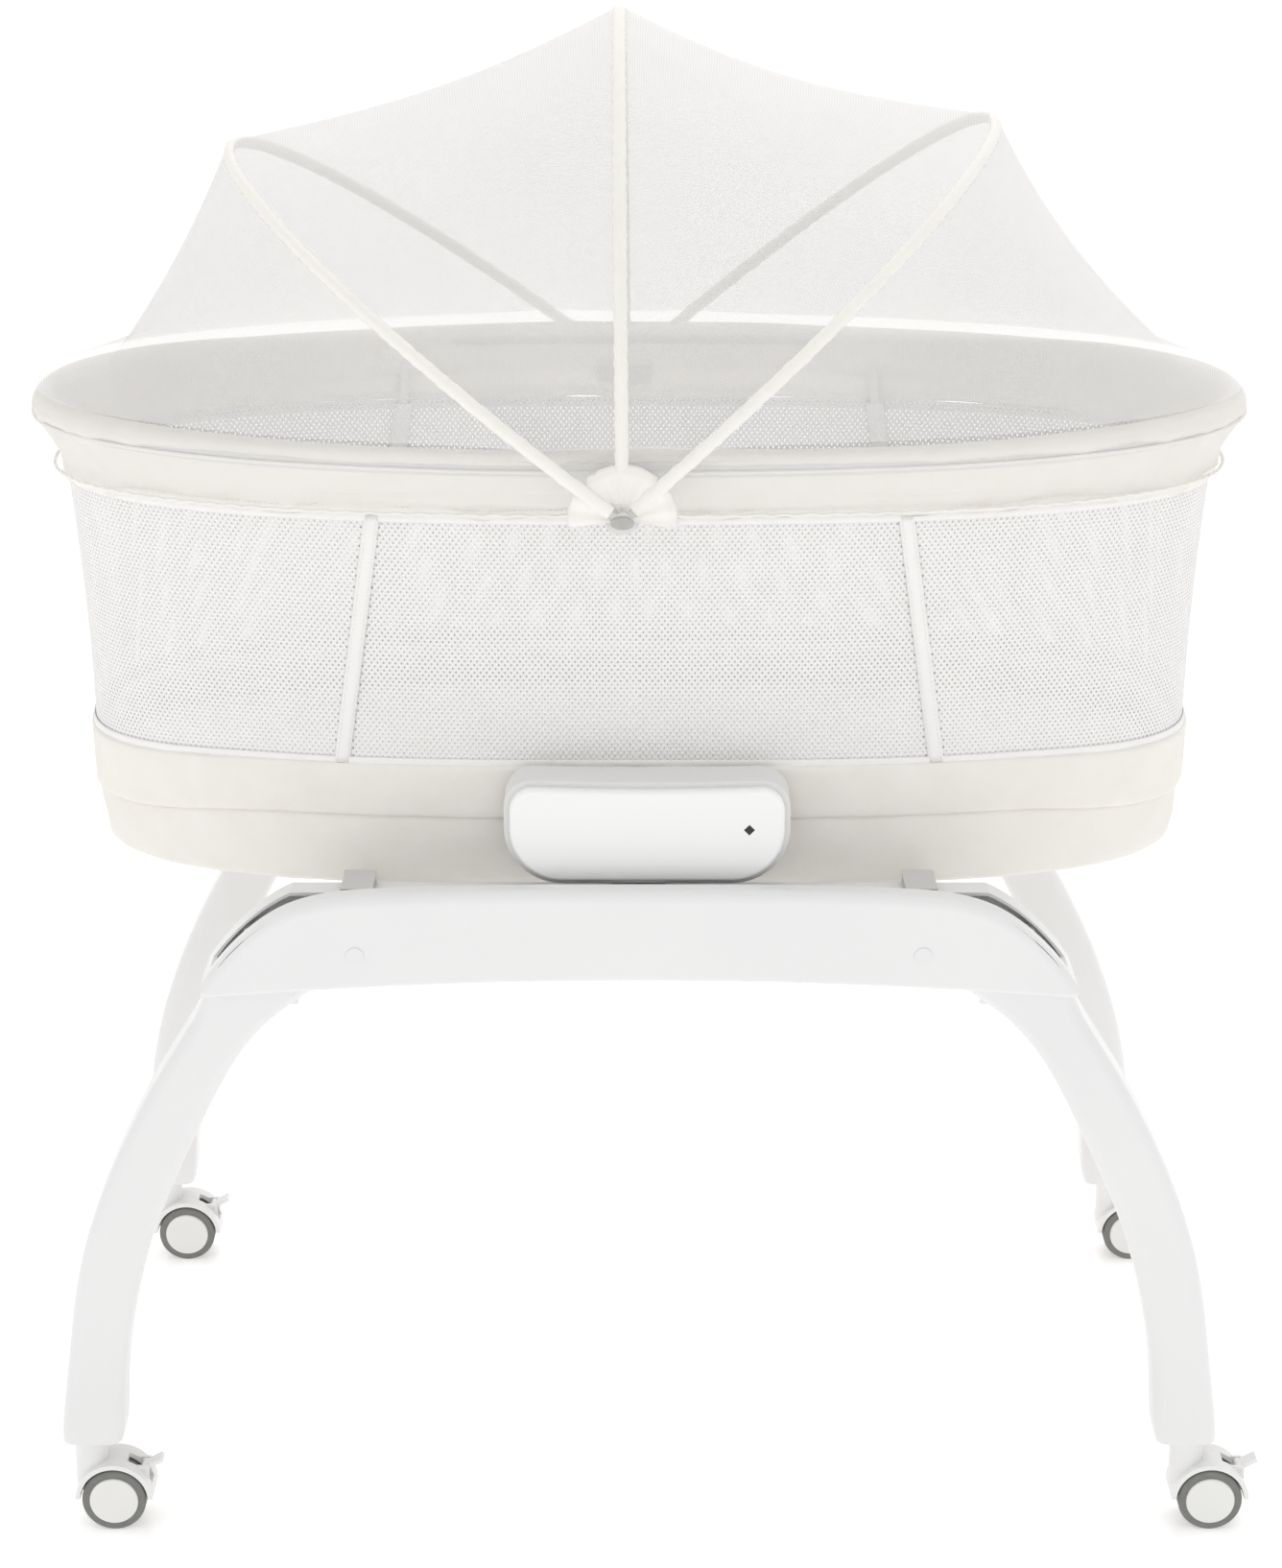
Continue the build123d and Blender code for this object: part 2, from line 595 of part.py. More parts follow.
def carriage_pins():
    """Pins in the front hanger arms that the links swing on."""
    pins = []
    for side in (-1, 1):
        x = side * LINK_X
        pin = rod_y(x, LOWER_PIN_Z, -LINK_OUT_Y - 1.8, -ARM_IN_Y, PIN_RADIUS)
        flange = rod_y(x, LOWER_PIN_Z, -LINK_OUT_Y - 1.8, -LINK_OUT_Y - 0.4, PIN_SHOULDER)
        collar = rod_y(x, LOWER_PIN_Z, -LINK_IN_Y + 0.4, -ARM_OUT_Y, PIN_SHOULDER)
        pins.append(pin + flange + collar)
    return pins


def support_pads():
    """Rubber saddles between the carriage tubes and the tray."""
    pads = []
    for x in (-LINK_X, LINK_X):
        for y in (-RAIL_Y / 2, RAIL_Y / 2):
            pad = box((x - 12, y - 14, CARRIAGE_Z + 1), (x + 12, y + 14, BASE_Z))
            pads.append(pad - rod_y(x, CARRIAGE_Z, y - 20, y + 20, CARRIAGE_TUBE))
    return pads


def drive_magnet():
    """Magnet block on the carriage, facing the coil."""
    return box((-15, -LINK_OUT_Y + 3, TUBE_Z + 4), (15, -ARM_OUT_Y, TUBE_Z + 26))


def box_outline(inset):
    """Front outline of the control box: bowl-shaped below, slightly hollow above."""
    half = BOX_SIZE[0] / 2 - inset
    low = BOX_FLOOR_Z + inset
    high = BOX_FLOOR_Z + BOX_SIZE[2] - inset
    top = ThreePointArc((-half, high), (0, high - 2.5), (half, high))
    sides = Polyline((half, high), (half, low), (-half, low), (-half, high))
    face = make_face([top] + sides.edges())
    corners = face.vertices().sort_by(Axis.Y)
    face = fillet(corners[:2], 44 - inset)
    corners = face.vertices().sort_by(Axis.Y)
    return fillet(corners[-2:], 22 - inset)


def box_slab(inset, y_front, y_back):
    """The control box's outline between two depths."""
    plane = Plane(origin=(BOX_X, -y_back, 0), x_dir=(1, 0, 0), z_dir=(0, -1, 0))
    return extrude(plane * box_outline(inset), y_front - y_back)


def control_housing():
    """Open-fronted box that holds the electronics."""
    shell = box_slab(0, BOX_FRONT_Y - PANEL_THICK, BOX_BACK_Y)
    shell = fillet(shell.faces().sort_by(Axis.Y)[0].edges(), 2.0)
    mouth_y = BOX_FRONT_Y - PANEL_THICK - FLANGE_THICK
    shell = shell - box_slab(BOX_WALL, mouth_y, BOX_BACK_Y + BOX_WALL)
    shell = shell - box_slab(PANEL_INSET + LIP_INSET - LIP_GAP, BOX_FRONT_Y, mouth_y - 1)
    side = BOX_X + BOX_SIZE[0] / 2
    y, z = inlet_place()
    sideways = Pos(side - INLET_DEPTH / 2, y, z) * Rot(Y=90)
    boss = sideways * Pos(0, 0, -0.5) * Cylinder(INLET_RADIUS + INLET_WALL, INLET_DEPTH - 1)
    return shell + boss - sideways * Cylinder(INLET_RADIUS, INLET_DEPTH + 2)


def inlet_place():
    """Where the power inlet sits on the box's right side."""
    return -(BOX_FRONT_Y + BOX_BACK_Y) / 2 + 4, BOX_FLOOR_Z + BOX_SIZE[2] * 0.62


def control_panel():
    """Front panel with a soft edge, a rear lip and a recess for the lens."""
    panel = box_slab(PANEL_INSET, BOX_FRONT_Y, BOX_FRONT_Y - PANEL_THICK)
    panel = fillet(panel.faces().sort_by(Axis.Y)[0].edges(), 3.0)
    back_y = BOX_FRONT_Y - PANEL_THICK
    lip = box_slab(PANEL_INSET + LIP_INSET, back_y, back_y - FLANGE_THICK)
    lip = lip - box_slab(PANEL_INSET + LIP_INSET + 2, back_y + 1, back_y - FLANGE_THICK - 1)
    recess = lens(LENS_SIDE + 0.1, 1.2)
    return panel + lip - recess


def lens(side, depth):
    """Small diamond window flush with the panel."""
    place = Pos(BOX_X + LENS_X, -BOX_FRONT_Y + depth / 2, BOX_FLOOR_Z + LENS_Z)
    return place * Rot(Y=45) * Box(side, depth, side)


def circuit_board():
    """Controller board inside the box."""
    y = -BOX_BACK_Y - BOX_WALL
    low_z = BOX_FLOOR_Z + 30
    board = box((BOX_X - 60, y - 8, low_z), (BOX_X + 60, y - 6.4, low_z + 42))
    for x in (-50, 50):
        board = board + rod_y(BOX_X + x, low_z + 21, y - 7, y, 3)
    chip = box((BOX_X - 12, y - 10, low_z + 12), (BOX_X + 12, y - 7, low_z + 28))
    return board + chip


def make_carriage():
    save(carriage_frame(), "carriage_frame")
    pins = carriage_pins()
    save(group(pins + [mirror_back(p) for p in pins]), "carriage_pins")
    save(group(support_pads()), "support_pads")
    save(drive_magnet(), "drive_magnet")
    save(control_housing(), "control_housing")
    save(control_panel(), "control_panel")
    save(lens(LENS_SIDE, 1.2), "indicator_lens")
    save(circuit_board(), "circuit_board")


# ---------------------------------------------------------------- basket

def base_levels(inset, start_z, end_z):
    """Outline of the fabric-covered base, drawn in by a wall."""
    a0, b0 = BASE_HALF
    a1, b1 = BAND_HALF
    return [
        (start_z, a0 - inset, b0 - inset, BASE_POWER),
        ((BASE_Z + BAND_Z) / 2, (a0 + a1) / 2 - inset, (b0 + b1) / 2 - inset, BASE_POWER),
        (end_z, a1 - inset, b1 - inset, BASE_POWER),
    ]


def base_cover():
    """Fabric skirt and band around the tray."""
    outer = oval_body(base_levels(0, BASE_Z, BAND_Z))
    return outer - oval_body(base_levels(COVER_CLOTH, BASE_Z - 1, BAND_Z + 1))


def base_tray():
    """Stiff board that the mattress lies on."""
    a = BASE_HALF[0] - COVER_CLOTH - SOFT_GAP
    b = BASE_HALF[1] - COVER_CLOTH - SOFT_GAP
    return oval_body([(BASE_Z, a, b, BASE_POWER), (BASE_Z + BOARD_THICK, a, b, BASE_POWER)])


def mattress():
    """Plain body of the mattress."""
    low = BASE_Z + BOARD_THICK + SOFT_GAP
    a = BASE_HALF[0] - COVER_CLOTH - MATTRESS_GAP
    b = BASE_HALF[1] - COVER_CLOTH - MATTRESS_GAP
    slab = oval_body([(low, a, b, BASE_POWER), (low + MATTRESS_THICK, a, b, BASE_POWER)])
    return fillet(slab.edges().sort_by(Axis.Z)[-1:], 12)


def hoop_axis_low():
    """Centre line of the lower hoop."""
    inset = COVER_CLOTH + LOWER_HOOP_RADIUS + SOFT_GAP + 2.0
    return BAND_HALF[0] - inset, BAND_HALF[1] - inset, BAND_Z - LOWER_HOOP_RADIUS - 6


def hoop_axis_high():
    """Centre line of the upper hoop."""
    return RIM_HALF[0] - 12, RIM_HALF[1] - 13, RIM_Z - 17


def oval_y(half_x, half_y, power, x):
    """Half depth of an oval at a place along it."""
    return half_y * (1 - abs(x / half_x) ** power) ** (1 / power)


def lower_frame():
    """Hoop inside the band."""
    a, b, z = hoop_axis_low()
    return oval_hoop(a, b, BASE_POWER, z, LOWER_HOOP_RADIUS)


def uprights():
    """Four bent rods from the lower hoop to the upper one."""
    a, b, z = hoop_axis_low()
    hoop = lower_frame()
    pieces = []
    mesh_a, mesh_b = HEM_HALF
    inset = MESH_CLOTH + UPRIGHT_RADIUS + 2.5
    for sx in (-1, 1):
        for sy in (-1, 1):
            foot_y = oval_y(a, b, BASE_POWER, UPRIGHT_X[0]) - 1.0
            head_y = oval_y(mesh_a - inset, mesh_b - inset, upper_power(), UPRIGHT_X[1])
            foot = (sx * UPRIGHT_X[0], sy * foot_y, z + LOWER_HOOP_RADIUS)
            head = (sx * UPRIGHT_X[1], sy * head_y, HEM_Z + 4)
            knee = Pos(*head) * Sphere(UPRIGHT_RADIUS)
            ha, hb, hz = hoop_axis_high()
            tip_y = oval_y(ha, hb, RIM_POWER, UPRIGHT_X[1]) - UPPER_HOOP_RADIUS * 0.6
            tip = (sx * UPRIGHT_X[1], sy * tip_y, hz - UPPER_HOOP_RADIUS - 1.2)
            rod = bar(foot, head, UPRIGHT_RADIUS) + knee + bar(head, tip, UPRIGHT_RADIUS)
            pieces.append(rod - hoop)
    return pieces


def upper_power():
    """Outline exponent where the mesh meets the rim."""
    return (BASE_POWER + RIM_POWER) / 2


def upper_hoop():
    """Tube inside the rim pad."""
    a, b, z = hoop_axis_high()
    return oval_hoop(a, b, RIM_POWER, z, UPPER_HOOP_RADIUS)


def mesh_wall():
    """Mesh cloth between the band and the rim."""
    def levels(inset, over):
        return [
            (BAND_Z - over, BAND_HALF[0] - inset, BAND_HALF[1] - inset, BASE_POWER),
            (HEM_Z + over, HEM_HALF[0] - inset, HEM_HALF[1] - inset, upper_power()),
        ]
    return oval_body(levels(0, 0)) - oval_body(levels(MESH_CLOTH, 1))


def rim_pad():
    """Padded collar that flares out over the mesh and rolls in at the crest."""
    a, b = RIM_HALF
    ha, hb = HEM_HALF
    n0 = upper_power()
    tall = RIM_Z - HEM_Z
    outer = oval_body([
        (HEM_Z, ha + 2, hb + 3, n0),
        (HEM_Z + tall * 0.35, ha + 13, hb + 22, RIM_POWER + 0.1),
        (HEM_Z + tall * 0.68, a, b, RIM_POWER),
        (HEM_Z + tall * 0.88, a - 2, b - 2, RIM_POWER),
        (RIM_Z, a - 10, b - 10, RIM_POWER),
    ])
    inner = oval_body([
        (HEM_Z - 1, ha - 6, hb - 6, n0),
        (HEM_Z + tall * 0.5, ha + 1, hb + 12, RIM_POWER + 0.1),
        (RIM_Z + 1, a - 22, b - 22, RIM_POWER),
    ])
    return outer - inner


def hub_brackets():
    """Standoffs that hold the canopy's pivots clear of the rim."""
    pieces = []
    inside = HEM_HALF[1] + 8
    outside = HUB_Y - EYELET[1] / 2 - 0.7
    post = rod_y(HUB_X, HUB_Z, -outside, -inside, 13)
    pad = box((HUB_X - 22, -inside - 7, HUB_Z - 12), (HUB_X + 22, -inside, HUB_Z + 14))
    piece = post + pad - rod_y(HUB_X, HUB_Z, -outside - 1, -inside + 1, RIVET_RADIUS)
    pieces.append(piece)
    pieces.append(mirror_back(piece))
    return pieces


def hub_rivets():
    """Rivets that the three bows turn on."""
    inside = HEM_HALF[1] + 8
    end = HUB_Y + 2 * BOW_PITCH + EYELET[1] / 2 + 0.4
    shaft = rod_y(HUB_X, HUB_Z, -end, -inside, RIVET_RADIUS)
    plane = Plane(origin=(HUB_X, -end, HUB_Z), x_dir=(1, 0, 0), z_dir=(0, -1, 0))
    head = extrude(plane * Ellipse(RIVET_HEAD[0], RIVET_HEAD[1]), RIVET_HEAD[2])
    rivet = shaft + head
    return [rivet, mirror_back(rivet)]


def make_basket():
    save(base_tray(), "base_tray")
    save(base_cover(), "base_cover")
    save(mattress(), "mattress")
    save(lower_frame(), "lower_frame")
    save(group(uprights()), "uprights")
    save(upper_hoop(), "upper_hoop")
    save(mesh_wall(), "mesh_wall")
    save(rim_pad(), "rim_pad")
    save(group(hub_brackets()), "hub_brackets")
    save(group(hub_rivets()), "hub_rivets")


# ---------------------------------------------------------------- canopy

def bow(reach, place):
    """Half-ellipse hoop with an eyelet at each end, upright, hinged at the origin."""
    half = HUB_Y + place * BOW_PITCH
    start = math.asin((EYELET[0] - BOW_RADIUS) / reach)
    step = (math.pi - 2 * start) / 12
    turns = [start + step * k for k in range(13)]
    upright = Plane(origin=(0, 0, 0), x_dir=(0, 1, 0), z_dir=(1, 0, 0))
    path = upright * Spline(*[(half * math.cos(t), reach * math.sin(t)) for t in turns])
    section = Plane(origin=path @ 0, z_dir=path % 0) * Circle(BOW_RADIUS)
    wire = sweep(section, path=path)
    for y in (-half, half):
        eyelet = rod_y(0, 0, y - EYELET[1] / 2, y + EYELET[1] / 2, EYELET[0])
        wire = wire + eyelet
        wire = wire - rod_y(0, 0, y - EYELET[1], y + EYELET[1], RIVET_RADIUS + RUN_GAP)
    return wire


def lean(shape, degrees):
    """Turn an upright shape about the hub's axis."""
    return Pos(HUB_X, 0, HUB_Z) * Rot(Y=degrees) * shape


def net_hoop(degrees, reach, half):
    """Thin arch of netting that lies over one bow."""
    upright = Plane(origin=(0, 0, 0), x_dir=(0, 1, 0), z_dir=(1, 0, 0))
    a0, r0 = half + NET_LIFT, reach + NET_LIFT
    a1, r1 = a0 + NET_THICK, r0 + NET_THICK
    angle = math.degrees(math.asin(NET_FOOT / r0))
    inner = EllipticalCenterArc((0, 0), a0, r0, start_angle=angle, arc_size=180 - 2 * angle)
    outer = EllipticalCenterArc((0, 0), a1, r1, start_angle=angle, arc_size=180 - 2 * angle)
    face = make_face([inner, outer, Line(inner @ 0, outer @ 0), Line(inner @ 1, outer @ 1)])
    return lean(upright * face, degrees)


def net_foot(side):
    """Thin strip of netting around one end of the rim, level with its crest."""
    z = RIM_Z + NET_LIFT + 1
    a = RIM_HALF[0] - 8
    b = RIM_HALF[1] - 4
    start = -84 if side > 0 else 264
    reach = 168 if side > 0 else -168
    inner_points = oval_points(a, b, RIM_POWER, 0, start, reach, 14)
    outer_points = oval_points(a + 2, b + 2, RIM_POWER, 0, start, reach, 14)
    inner = Spline(*[(x, y) for x, y, _ in inner_points])
    outer = Spline(*[(x, y) for x, y, _ in outer_points])
    ends = [Line(inner @ 0, outer @ 0), Line(inner @ 1, outer @ 1)]
    return Pos(0, 0, z) * make_face([inner, outer] + ends)


def net_panel(first, second):
    """Netting stretched straight between two arches."""
    return loft([first, second], ruled=True)


def canopy_net():
    """Four panels of netting from one end of the rim, over the bows, to the other."""
    arches = {}
    for name, (degrees, reach, place) in BOWS.items():
        arches[name] = net_hoop(degrees, reach, HUB_Y + 2 * BOW_PITCH)
    panels = [
        net_panel(arches["left"], arches["center"]),
        net_panel(arches["center"], arches["right"]),
        net_panel(net_foot(-1), arches["left"]),
        net_panel(net_foot(1), arches["right"]),
    ]
    return panels


def make_canopy():
    for name, (degrees, reach, place) in BOWS.items():
        save(lean(bow(reach, place), degrees), f"bow_{name}")
    save(group(canopy_net()), "canopy_net")


make_stand()
make_casters()
make_links()
make_carriage()
make_basket()
make_canopy()
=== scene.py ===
import json
import math

import bpy
import numpy as np
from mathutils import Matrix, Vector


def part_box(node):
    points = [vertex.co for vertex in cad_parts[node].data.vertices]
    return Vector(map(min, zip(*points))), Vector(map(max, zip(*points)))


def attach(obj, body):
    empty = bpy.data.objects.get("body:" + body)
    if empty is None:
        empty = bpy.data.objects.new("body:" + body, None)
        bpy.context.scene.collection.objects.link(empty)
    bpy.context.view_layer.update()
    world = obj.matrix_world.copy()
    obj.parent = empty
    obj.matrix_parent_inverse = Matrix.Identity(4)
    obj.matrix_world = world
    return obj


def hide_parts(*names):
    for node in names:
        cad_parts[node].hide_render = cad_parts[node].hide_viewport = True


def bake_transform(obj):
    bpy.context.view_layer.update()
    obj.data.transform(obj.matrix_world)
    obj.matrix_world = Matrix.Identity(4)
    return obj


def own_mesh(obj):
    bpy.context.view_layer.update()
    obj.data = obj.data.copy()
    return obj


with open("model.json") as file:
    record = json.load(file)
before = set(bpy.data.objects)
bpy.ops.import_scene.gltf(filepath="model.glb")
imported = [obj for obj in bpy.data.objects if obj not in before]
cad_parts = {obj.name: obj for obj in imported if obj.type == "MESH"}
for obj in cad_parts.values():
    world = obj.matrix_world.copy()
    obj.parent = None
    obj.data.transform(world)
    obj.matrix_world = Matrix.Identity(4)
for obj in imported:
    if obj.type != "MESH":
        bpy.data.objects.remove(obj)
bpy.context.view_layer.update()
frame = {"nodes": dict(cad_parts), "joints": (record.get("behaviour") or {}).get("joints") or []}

nodes = frame["nodes"]


# ---------------------------------------------------------------- studio
# A white cove: one seamless pale floor, an even white surround and three large soft lamps.
# The camera stands a little under three metres in front, at a standing parent's eye height.

scene = bpy.context.scene
scene.view_settings.view_transform = "Standard"
scene.cycles.transparent_max_bounces = 24

camera_data = bpy.data.cameras.new("camera")
camera_data.sensor_width = 36.0
camera_data.lens = 86.4
camera_data.shift_x = 0.0012
camera = bpy.data.objects.new("camera", camera_data)
camera.location = (0.0, -2.905, 1.453)
camera.rotation_euler = (math.radians(72.34), 0.0, 0.0)
scene.collection.objects.link(camera)
scene.camera = camera

surround = bpy.data.worlds.new("surround")
surround.use_nodes = True
surround.node_tree.nodes["Background"].inputs["Color"].default_value = (1.0, 0.995, 0.985, 1.0)
surround.node_tree.nodes["Background"].inputs["Strength"].default_value = 0.91
scene.world = surround

for lamp_name, place, aim, side, watts in (
    ("key_lamp", (-2.1, -2.4, 3.1), (0.0, 0.0, 0.55), 2.4, 68.0),
    ("fill_lamp", (1.5, -3.3, 0.9), (0.0, 0.0, 0.55), 2.2, 44.0),
    ("top_lamp", (0.4, 1.4, 3.2), (0.0, 0.0, 0.7), 2.4, 34.0),
):
    lamp_data = bpy.data.lights.new(lamp_name, "AREA")
    lamp_data.shape = "SQUARE"
    lamp_data.size = side
    lamp_data.energy = watts
    lamp = bpy.data.objects.new(lamp_name, lamp_data)
    lamp.location = place
    toward = np.array(aim) - np.array(place)
    lamp.rotation_euler = (
        math.acos(toward[2] / np.linalg.norm(toward)) - math.pi,
        0.0,
        math.atan2(toward[1], toward[0]) - math.pi / 2,
    )
    scene.collection.objects.link(lamp)

floor_mesh = bpy.data.meshes.new("floor")
floor_mesh.from_pydata([(-30, -30, 0), (30, -30, 0), (30, 30, 0), (-30, 30, 0)], [], [(0, 1, 2, 3)])
floor = bpy.data.objects.new("floor", floor_mesh)
scene.collection.objects.link(floor)
floor_paint = bpy.data.materials.new("floor_paint")
floor_paint.use_nodes = True
floor_shader = floor_paint.node_tree.nodes["Principled BSDF"]
floor_shader.inputs["Base Color"].default_value = (0.88, 0.88, 0.875, 1.0)
floor_shader.inputs["Roughness"].default_value = 0.24
floor_shader.inputs["Emission Color"].default_value = (1.0, 1.0, 1.0, 1.0)
floor_shader.inputs["Emission Strength"].default_value = 0.36
floor_mesh.materials.append(floor_paint)


# ---------------------------------------------------------------- moulded stand
# The arched legs, the beam casings and the control box are injection moulded in white ABS.
# The outer skins are satin smooth, with the faint flow and ripple that large mouldings keep.

class Signal:
    """A value that varies over a surface. Sums written on it become Math nodes."""

    def __init__(self, finish, socket):
        self.finish = finish
        self.socket = socket

    def math(self, operation, *values):
        return self.finish.node("Math", {"operation": operation}, dict(enumerate(values)))

    def __add__(self, other):
        return self.math("ADD", self, other)

    def __radd__(self, other):
        return self.math("ADD", other, self)

    def __sub__(self, other):
        return self.math("SUBTRACT", self, other)

    def __rsub__(self, other):
        return self.math("SUBTRACT", other, self)

    def __mul__(self, other):
        return self.math("MULTIPLY", self, other)

    def __rmul__(self, other):
        return self.math("MULTIPLY", other, self)

    def __truediv__(self, other):
        return self.math("DIVIDE", self, other)

    def __gt__(self, other):
        return self.math("GREATER_THAN", self, other)

    def cos(self):
        return self.math("COSINE", self)

    def part(self, axis):
        """One of a vector's three numbers."""
        return self.finish.node("SeparateXYZ", {}, {"Vector": self}, axis)


class Finish:
    """A material made up around its Principled shader."""

    def __init__(self, name, colour, roughness, **uniform):
        self.material = bpy.data.materials.new(name)
        self.material.use_nodes = True
        self.tree = self.material.node_tree
        self.shader = self.tree.nodes["Principled BSDF"]
        self.feed(self.shader.inputs["Base Color"], (*colour, 1.0))
        self.feed(self.shader.inputs["Roughness"], roughness)
        for socket, value in uniform.items():
            self.feed(self.shader.inputs[socket.replace("_", " ").title()], value)

    def feed(self, socket, value):
        if isinstance(value, Signal):
            self.tree.links.new(value.socket, socket)
        else:
            socket.default_value = value

    def node(self, kind, settings, sockets, out=0):
        made = self.tree.nodes.new("ShaderNode" + kind)
        for name, value in settings.items():
            if name == "stops":
                while len(made.color_ramp.elements) < len(value):
                    made.color_ramp.elements.new(1.0)
                for element, (place, colour) in zip(made.color_ramp.elements, value):
                    element.position = place
                    element.color = (*colour, 1.0)
            else:
                setattr(made, name, value)
        for key, value in sockets.items():
            self.feed(made.inputs[key], value)
        return Signal(self, made.outputs[out])

    def place(self):
        return self.node("TexCoord", {}, {}, "Object")

    def cloth(self):
        return self.node("TexCoord", {}, {}, "UV")

    def noise(self, at, scale, detail=2.0):
        return self.node("TexNoise", {}, {"Vector": at, "Scale": scale, "Detail": detail}, "Fac")

    def tint(self, factor, low, high):
        """A colour between two, by a factor."""
        return self.node("ValToRGB", {"stops": [(0.0, low), (1.0, high)]}, {"Fac": factor})

    def colour(self, signal):
        self.feed(self.shader.inputs["Base Color"], signal)

    def rough(self, signal):
        self.feed(self.shader.inputs["Roughness"], signal)

    def bump(self, height, distance, strength=1.0):
        normal = self.node("Bump", {}, {"Height": height, "Distance": distance, "Strength": strength})
        self.feed(self.shader.inputs["Normal"], normal)

    def dress(self, *names):
        for name in names:
            piece = nodes[name]
            piece.data.materials.clear()
            piece.data.materials.append(self.material)


def moulded(name, low, high, roughness, ripple):
    """Moulded plastic: a slow drift of shade, a slow drift of gloss, and a faint ripple."""
    finish = Finish(name, high, roughness)
    place = finish.place()
    finish.colour(finish.tint(finish.noise(place, 9.0), low, high))
    finish.rough(finish.noise(place, 60.0) * 0.10 + (roughness - 0.05))
    finish.bump(finish.noise(place, 420.0) + finish.noise(place, 24.0) * 3.0, ripple)
    return finish


satin_white = moulded("satin_white_abs", (0.81, 0.815, 0.822), (0.85, 0.853, 0.857), 0.34, 0.00006)
matt_white = moulded("matt_white_abs", (0.74, 0.74, 0.735), (0.79, 0.79, 0.785), 0.52, 0.00010)
for end in ("front", "rear"):
    satin_white.dress(f"{end}_beam_cover", f"{end}_beam_back_cover")
    for side in ("left", "right"):
        satin_white.dress(f"leg_{end}_{side}")
plug_white = moulded("plug_white_abs", (0.80, 0.805, 0.81), (0.84, 0.845, 0.85), 0.42, 0.00005)
plug_white.dress("cover_plugs")
matt_white.dress("control_housing", "hub_brackets")
panel_white = moulded("panel_white_abs", (0.90, 0.903, 0.907), (0.925, 0.927, 0.93), 0.22, 0.00003)
panel_white.feed(panel_white.shader.inputs["Coat Weight"], 0.35)
panel_white.dress("control_panel")
window = Finish("smoked_window", (0.012, 0.012, 0.014), 0.08)
window.bump(window.noise(window.place(), 900.0), 0.00001)
window.dress("indicator_lens")


# ---------------------------------------------------------------- steel inside
# Pressed plates, tubes and pins carry the load inside the casings. The plates and tubes are
# powder coated with an orange peel, and the links, bolts and pins are zinc plated.

def coated(name, low, high, roughness, peel):
    finish = Finish(name, high, roughness)
    place = finish.place()
    finish.colour(finish.tint(finish.noise(place, 30.0), low, high))
    finish.rough(finish.noise(place, 180.0) * 0.12 + (roughness - 0.06))
    finish.bump(finish.noise(place, 700.0, 3.0), peel)
    return finish


dark_coat = coated("dark_powder_coat", (0.028, 0.029, 0.031), (0.042, 0.043, 0.045), 0.45, 0.00012)
dark_coat.dress("beam_frames")
grey_coat = coated("grey_powder_coat", (0.58, 0.58, 0.57), (0.66, 0.66, 0.65), 0.45, 0.00010)
grey_coat.dress("carriage_frame")
white_coat = coated("white_powder_coat", (0.72, 0.72, 0.715), (0.78, 0.78, 0.775), 0.40, 0.00010)
white_coat.dress("cross_tubes", "lower_frame", "uprights", "upper_hoop")
white_coat.dress("bow_left", "bow_center", "bow_right")

zinc = Finish("zinc_plate", (0.55, 0.55, 0.56), 0.30, metallic=1.0)
zinc_place = zinc.place()
zinc.colour(zinc.tint(zinc.noise(zinc_place, 140.0), (0.44, 0.44, 0.45), (0.60, 0.60, 0.61)))
zinc.rough(zinc.noise(zinc_place, 400.0) * 0.18 + 0.22)
zinc.bump(zinc.noise(zinc_place, 1500.0, 3.0), 0.00004)
zinc.dress("leg_bolts", "link_pins", "carriage_pins", "link_front_left", "link_front_right",
           "link_rear_left", "link_rear_right")
rivet = Finish("dull_rivet", (0.46, 0.45, 0.42), 0.42, metallic=0.3)
rivet_place = rivet.place()
rivet.colour(rivet.tint(rivet.noise(rivet_place, 260.0), (0.40, 0.39, 0.365), (0.52, 0.51, 0.48)))
rivet.bump(rivet.noise(rivet_place, 1200.0), 0.00005)
rivet.dress("hub_rivets")


# ---------------------------------------------------------------- rocking drive
# A wound coil on the front beam pulls at a plated magnet under the cradle, and a small
# lacquered circuit board in the control box times it. Four rubber pads carry the tray.

copper = Finish("enamelled_copper", (0.45, 0.17, 0.07), 0.28, metallic=1.0)
copper_place = copper.place()
turns = (copper_place.part(2) * (2 * math.pi / 0.0008)).cos()
# The colour follows the turns: a painted shade darkens the grooves between the turns and a painted highlight
# lightens their crests.
copper.colour(copper.tint(turns * 0.5 + 0.5, (0.30, 0.10, 0.04), (0.55, 0.23, 0.10)))
copper.bump(turns, 0.0002)
copper.dress("drive_coil")
nickel = Finish("nickel_plate", (0.42, 0.42, 0.41), 0.20, metallic=1.0)
nickel.bump(nickel.noise(nickel.place(), 900.0), 0.00003)
nickel.dress("drive_magnet")
lacquer = Finish("board_lacquer", (0.012, 0.10, 0.035), 0.30)
lacquer_place = lacquer.place()
tracks = (lacquer_place.part(0) * 2600.0).cos() * (lacquer_place.part(2) * 900.0).cos()
lacquer.colour(lacquer.tint(tracks > 0.2, (0.010, 0.085, 0.03), (0.02, 0.15, 0.055)))
lacquer.bump(tracks, 0.00004)
lacquer.dress("circuit_board")
pad_rubber = Finish("pad_rubber", (0.022, 0.022, 0.022), 0.78)
pad_rubber.bump(pad_rubber.noise(pad_rubber.place(), 800.0), 0.0001)
pad_rubber.dress("support_pads")
board = Finish("tray_board", (0.40, 0.27, 0.15), 0.62)
board_place = board.place()
grain = board.noise(board.node("Mapping", {}, {"Vector": board_place, "Scale": (1.5, 26.0, 26.0)}), 6.0, 5.0)
board.colour(board.tint(grain, (0.30, 0.19, 0.10), (0.50, 0.35, 0.21)))
board.bump(grain, 0.0003)
board.dress("base_tray")


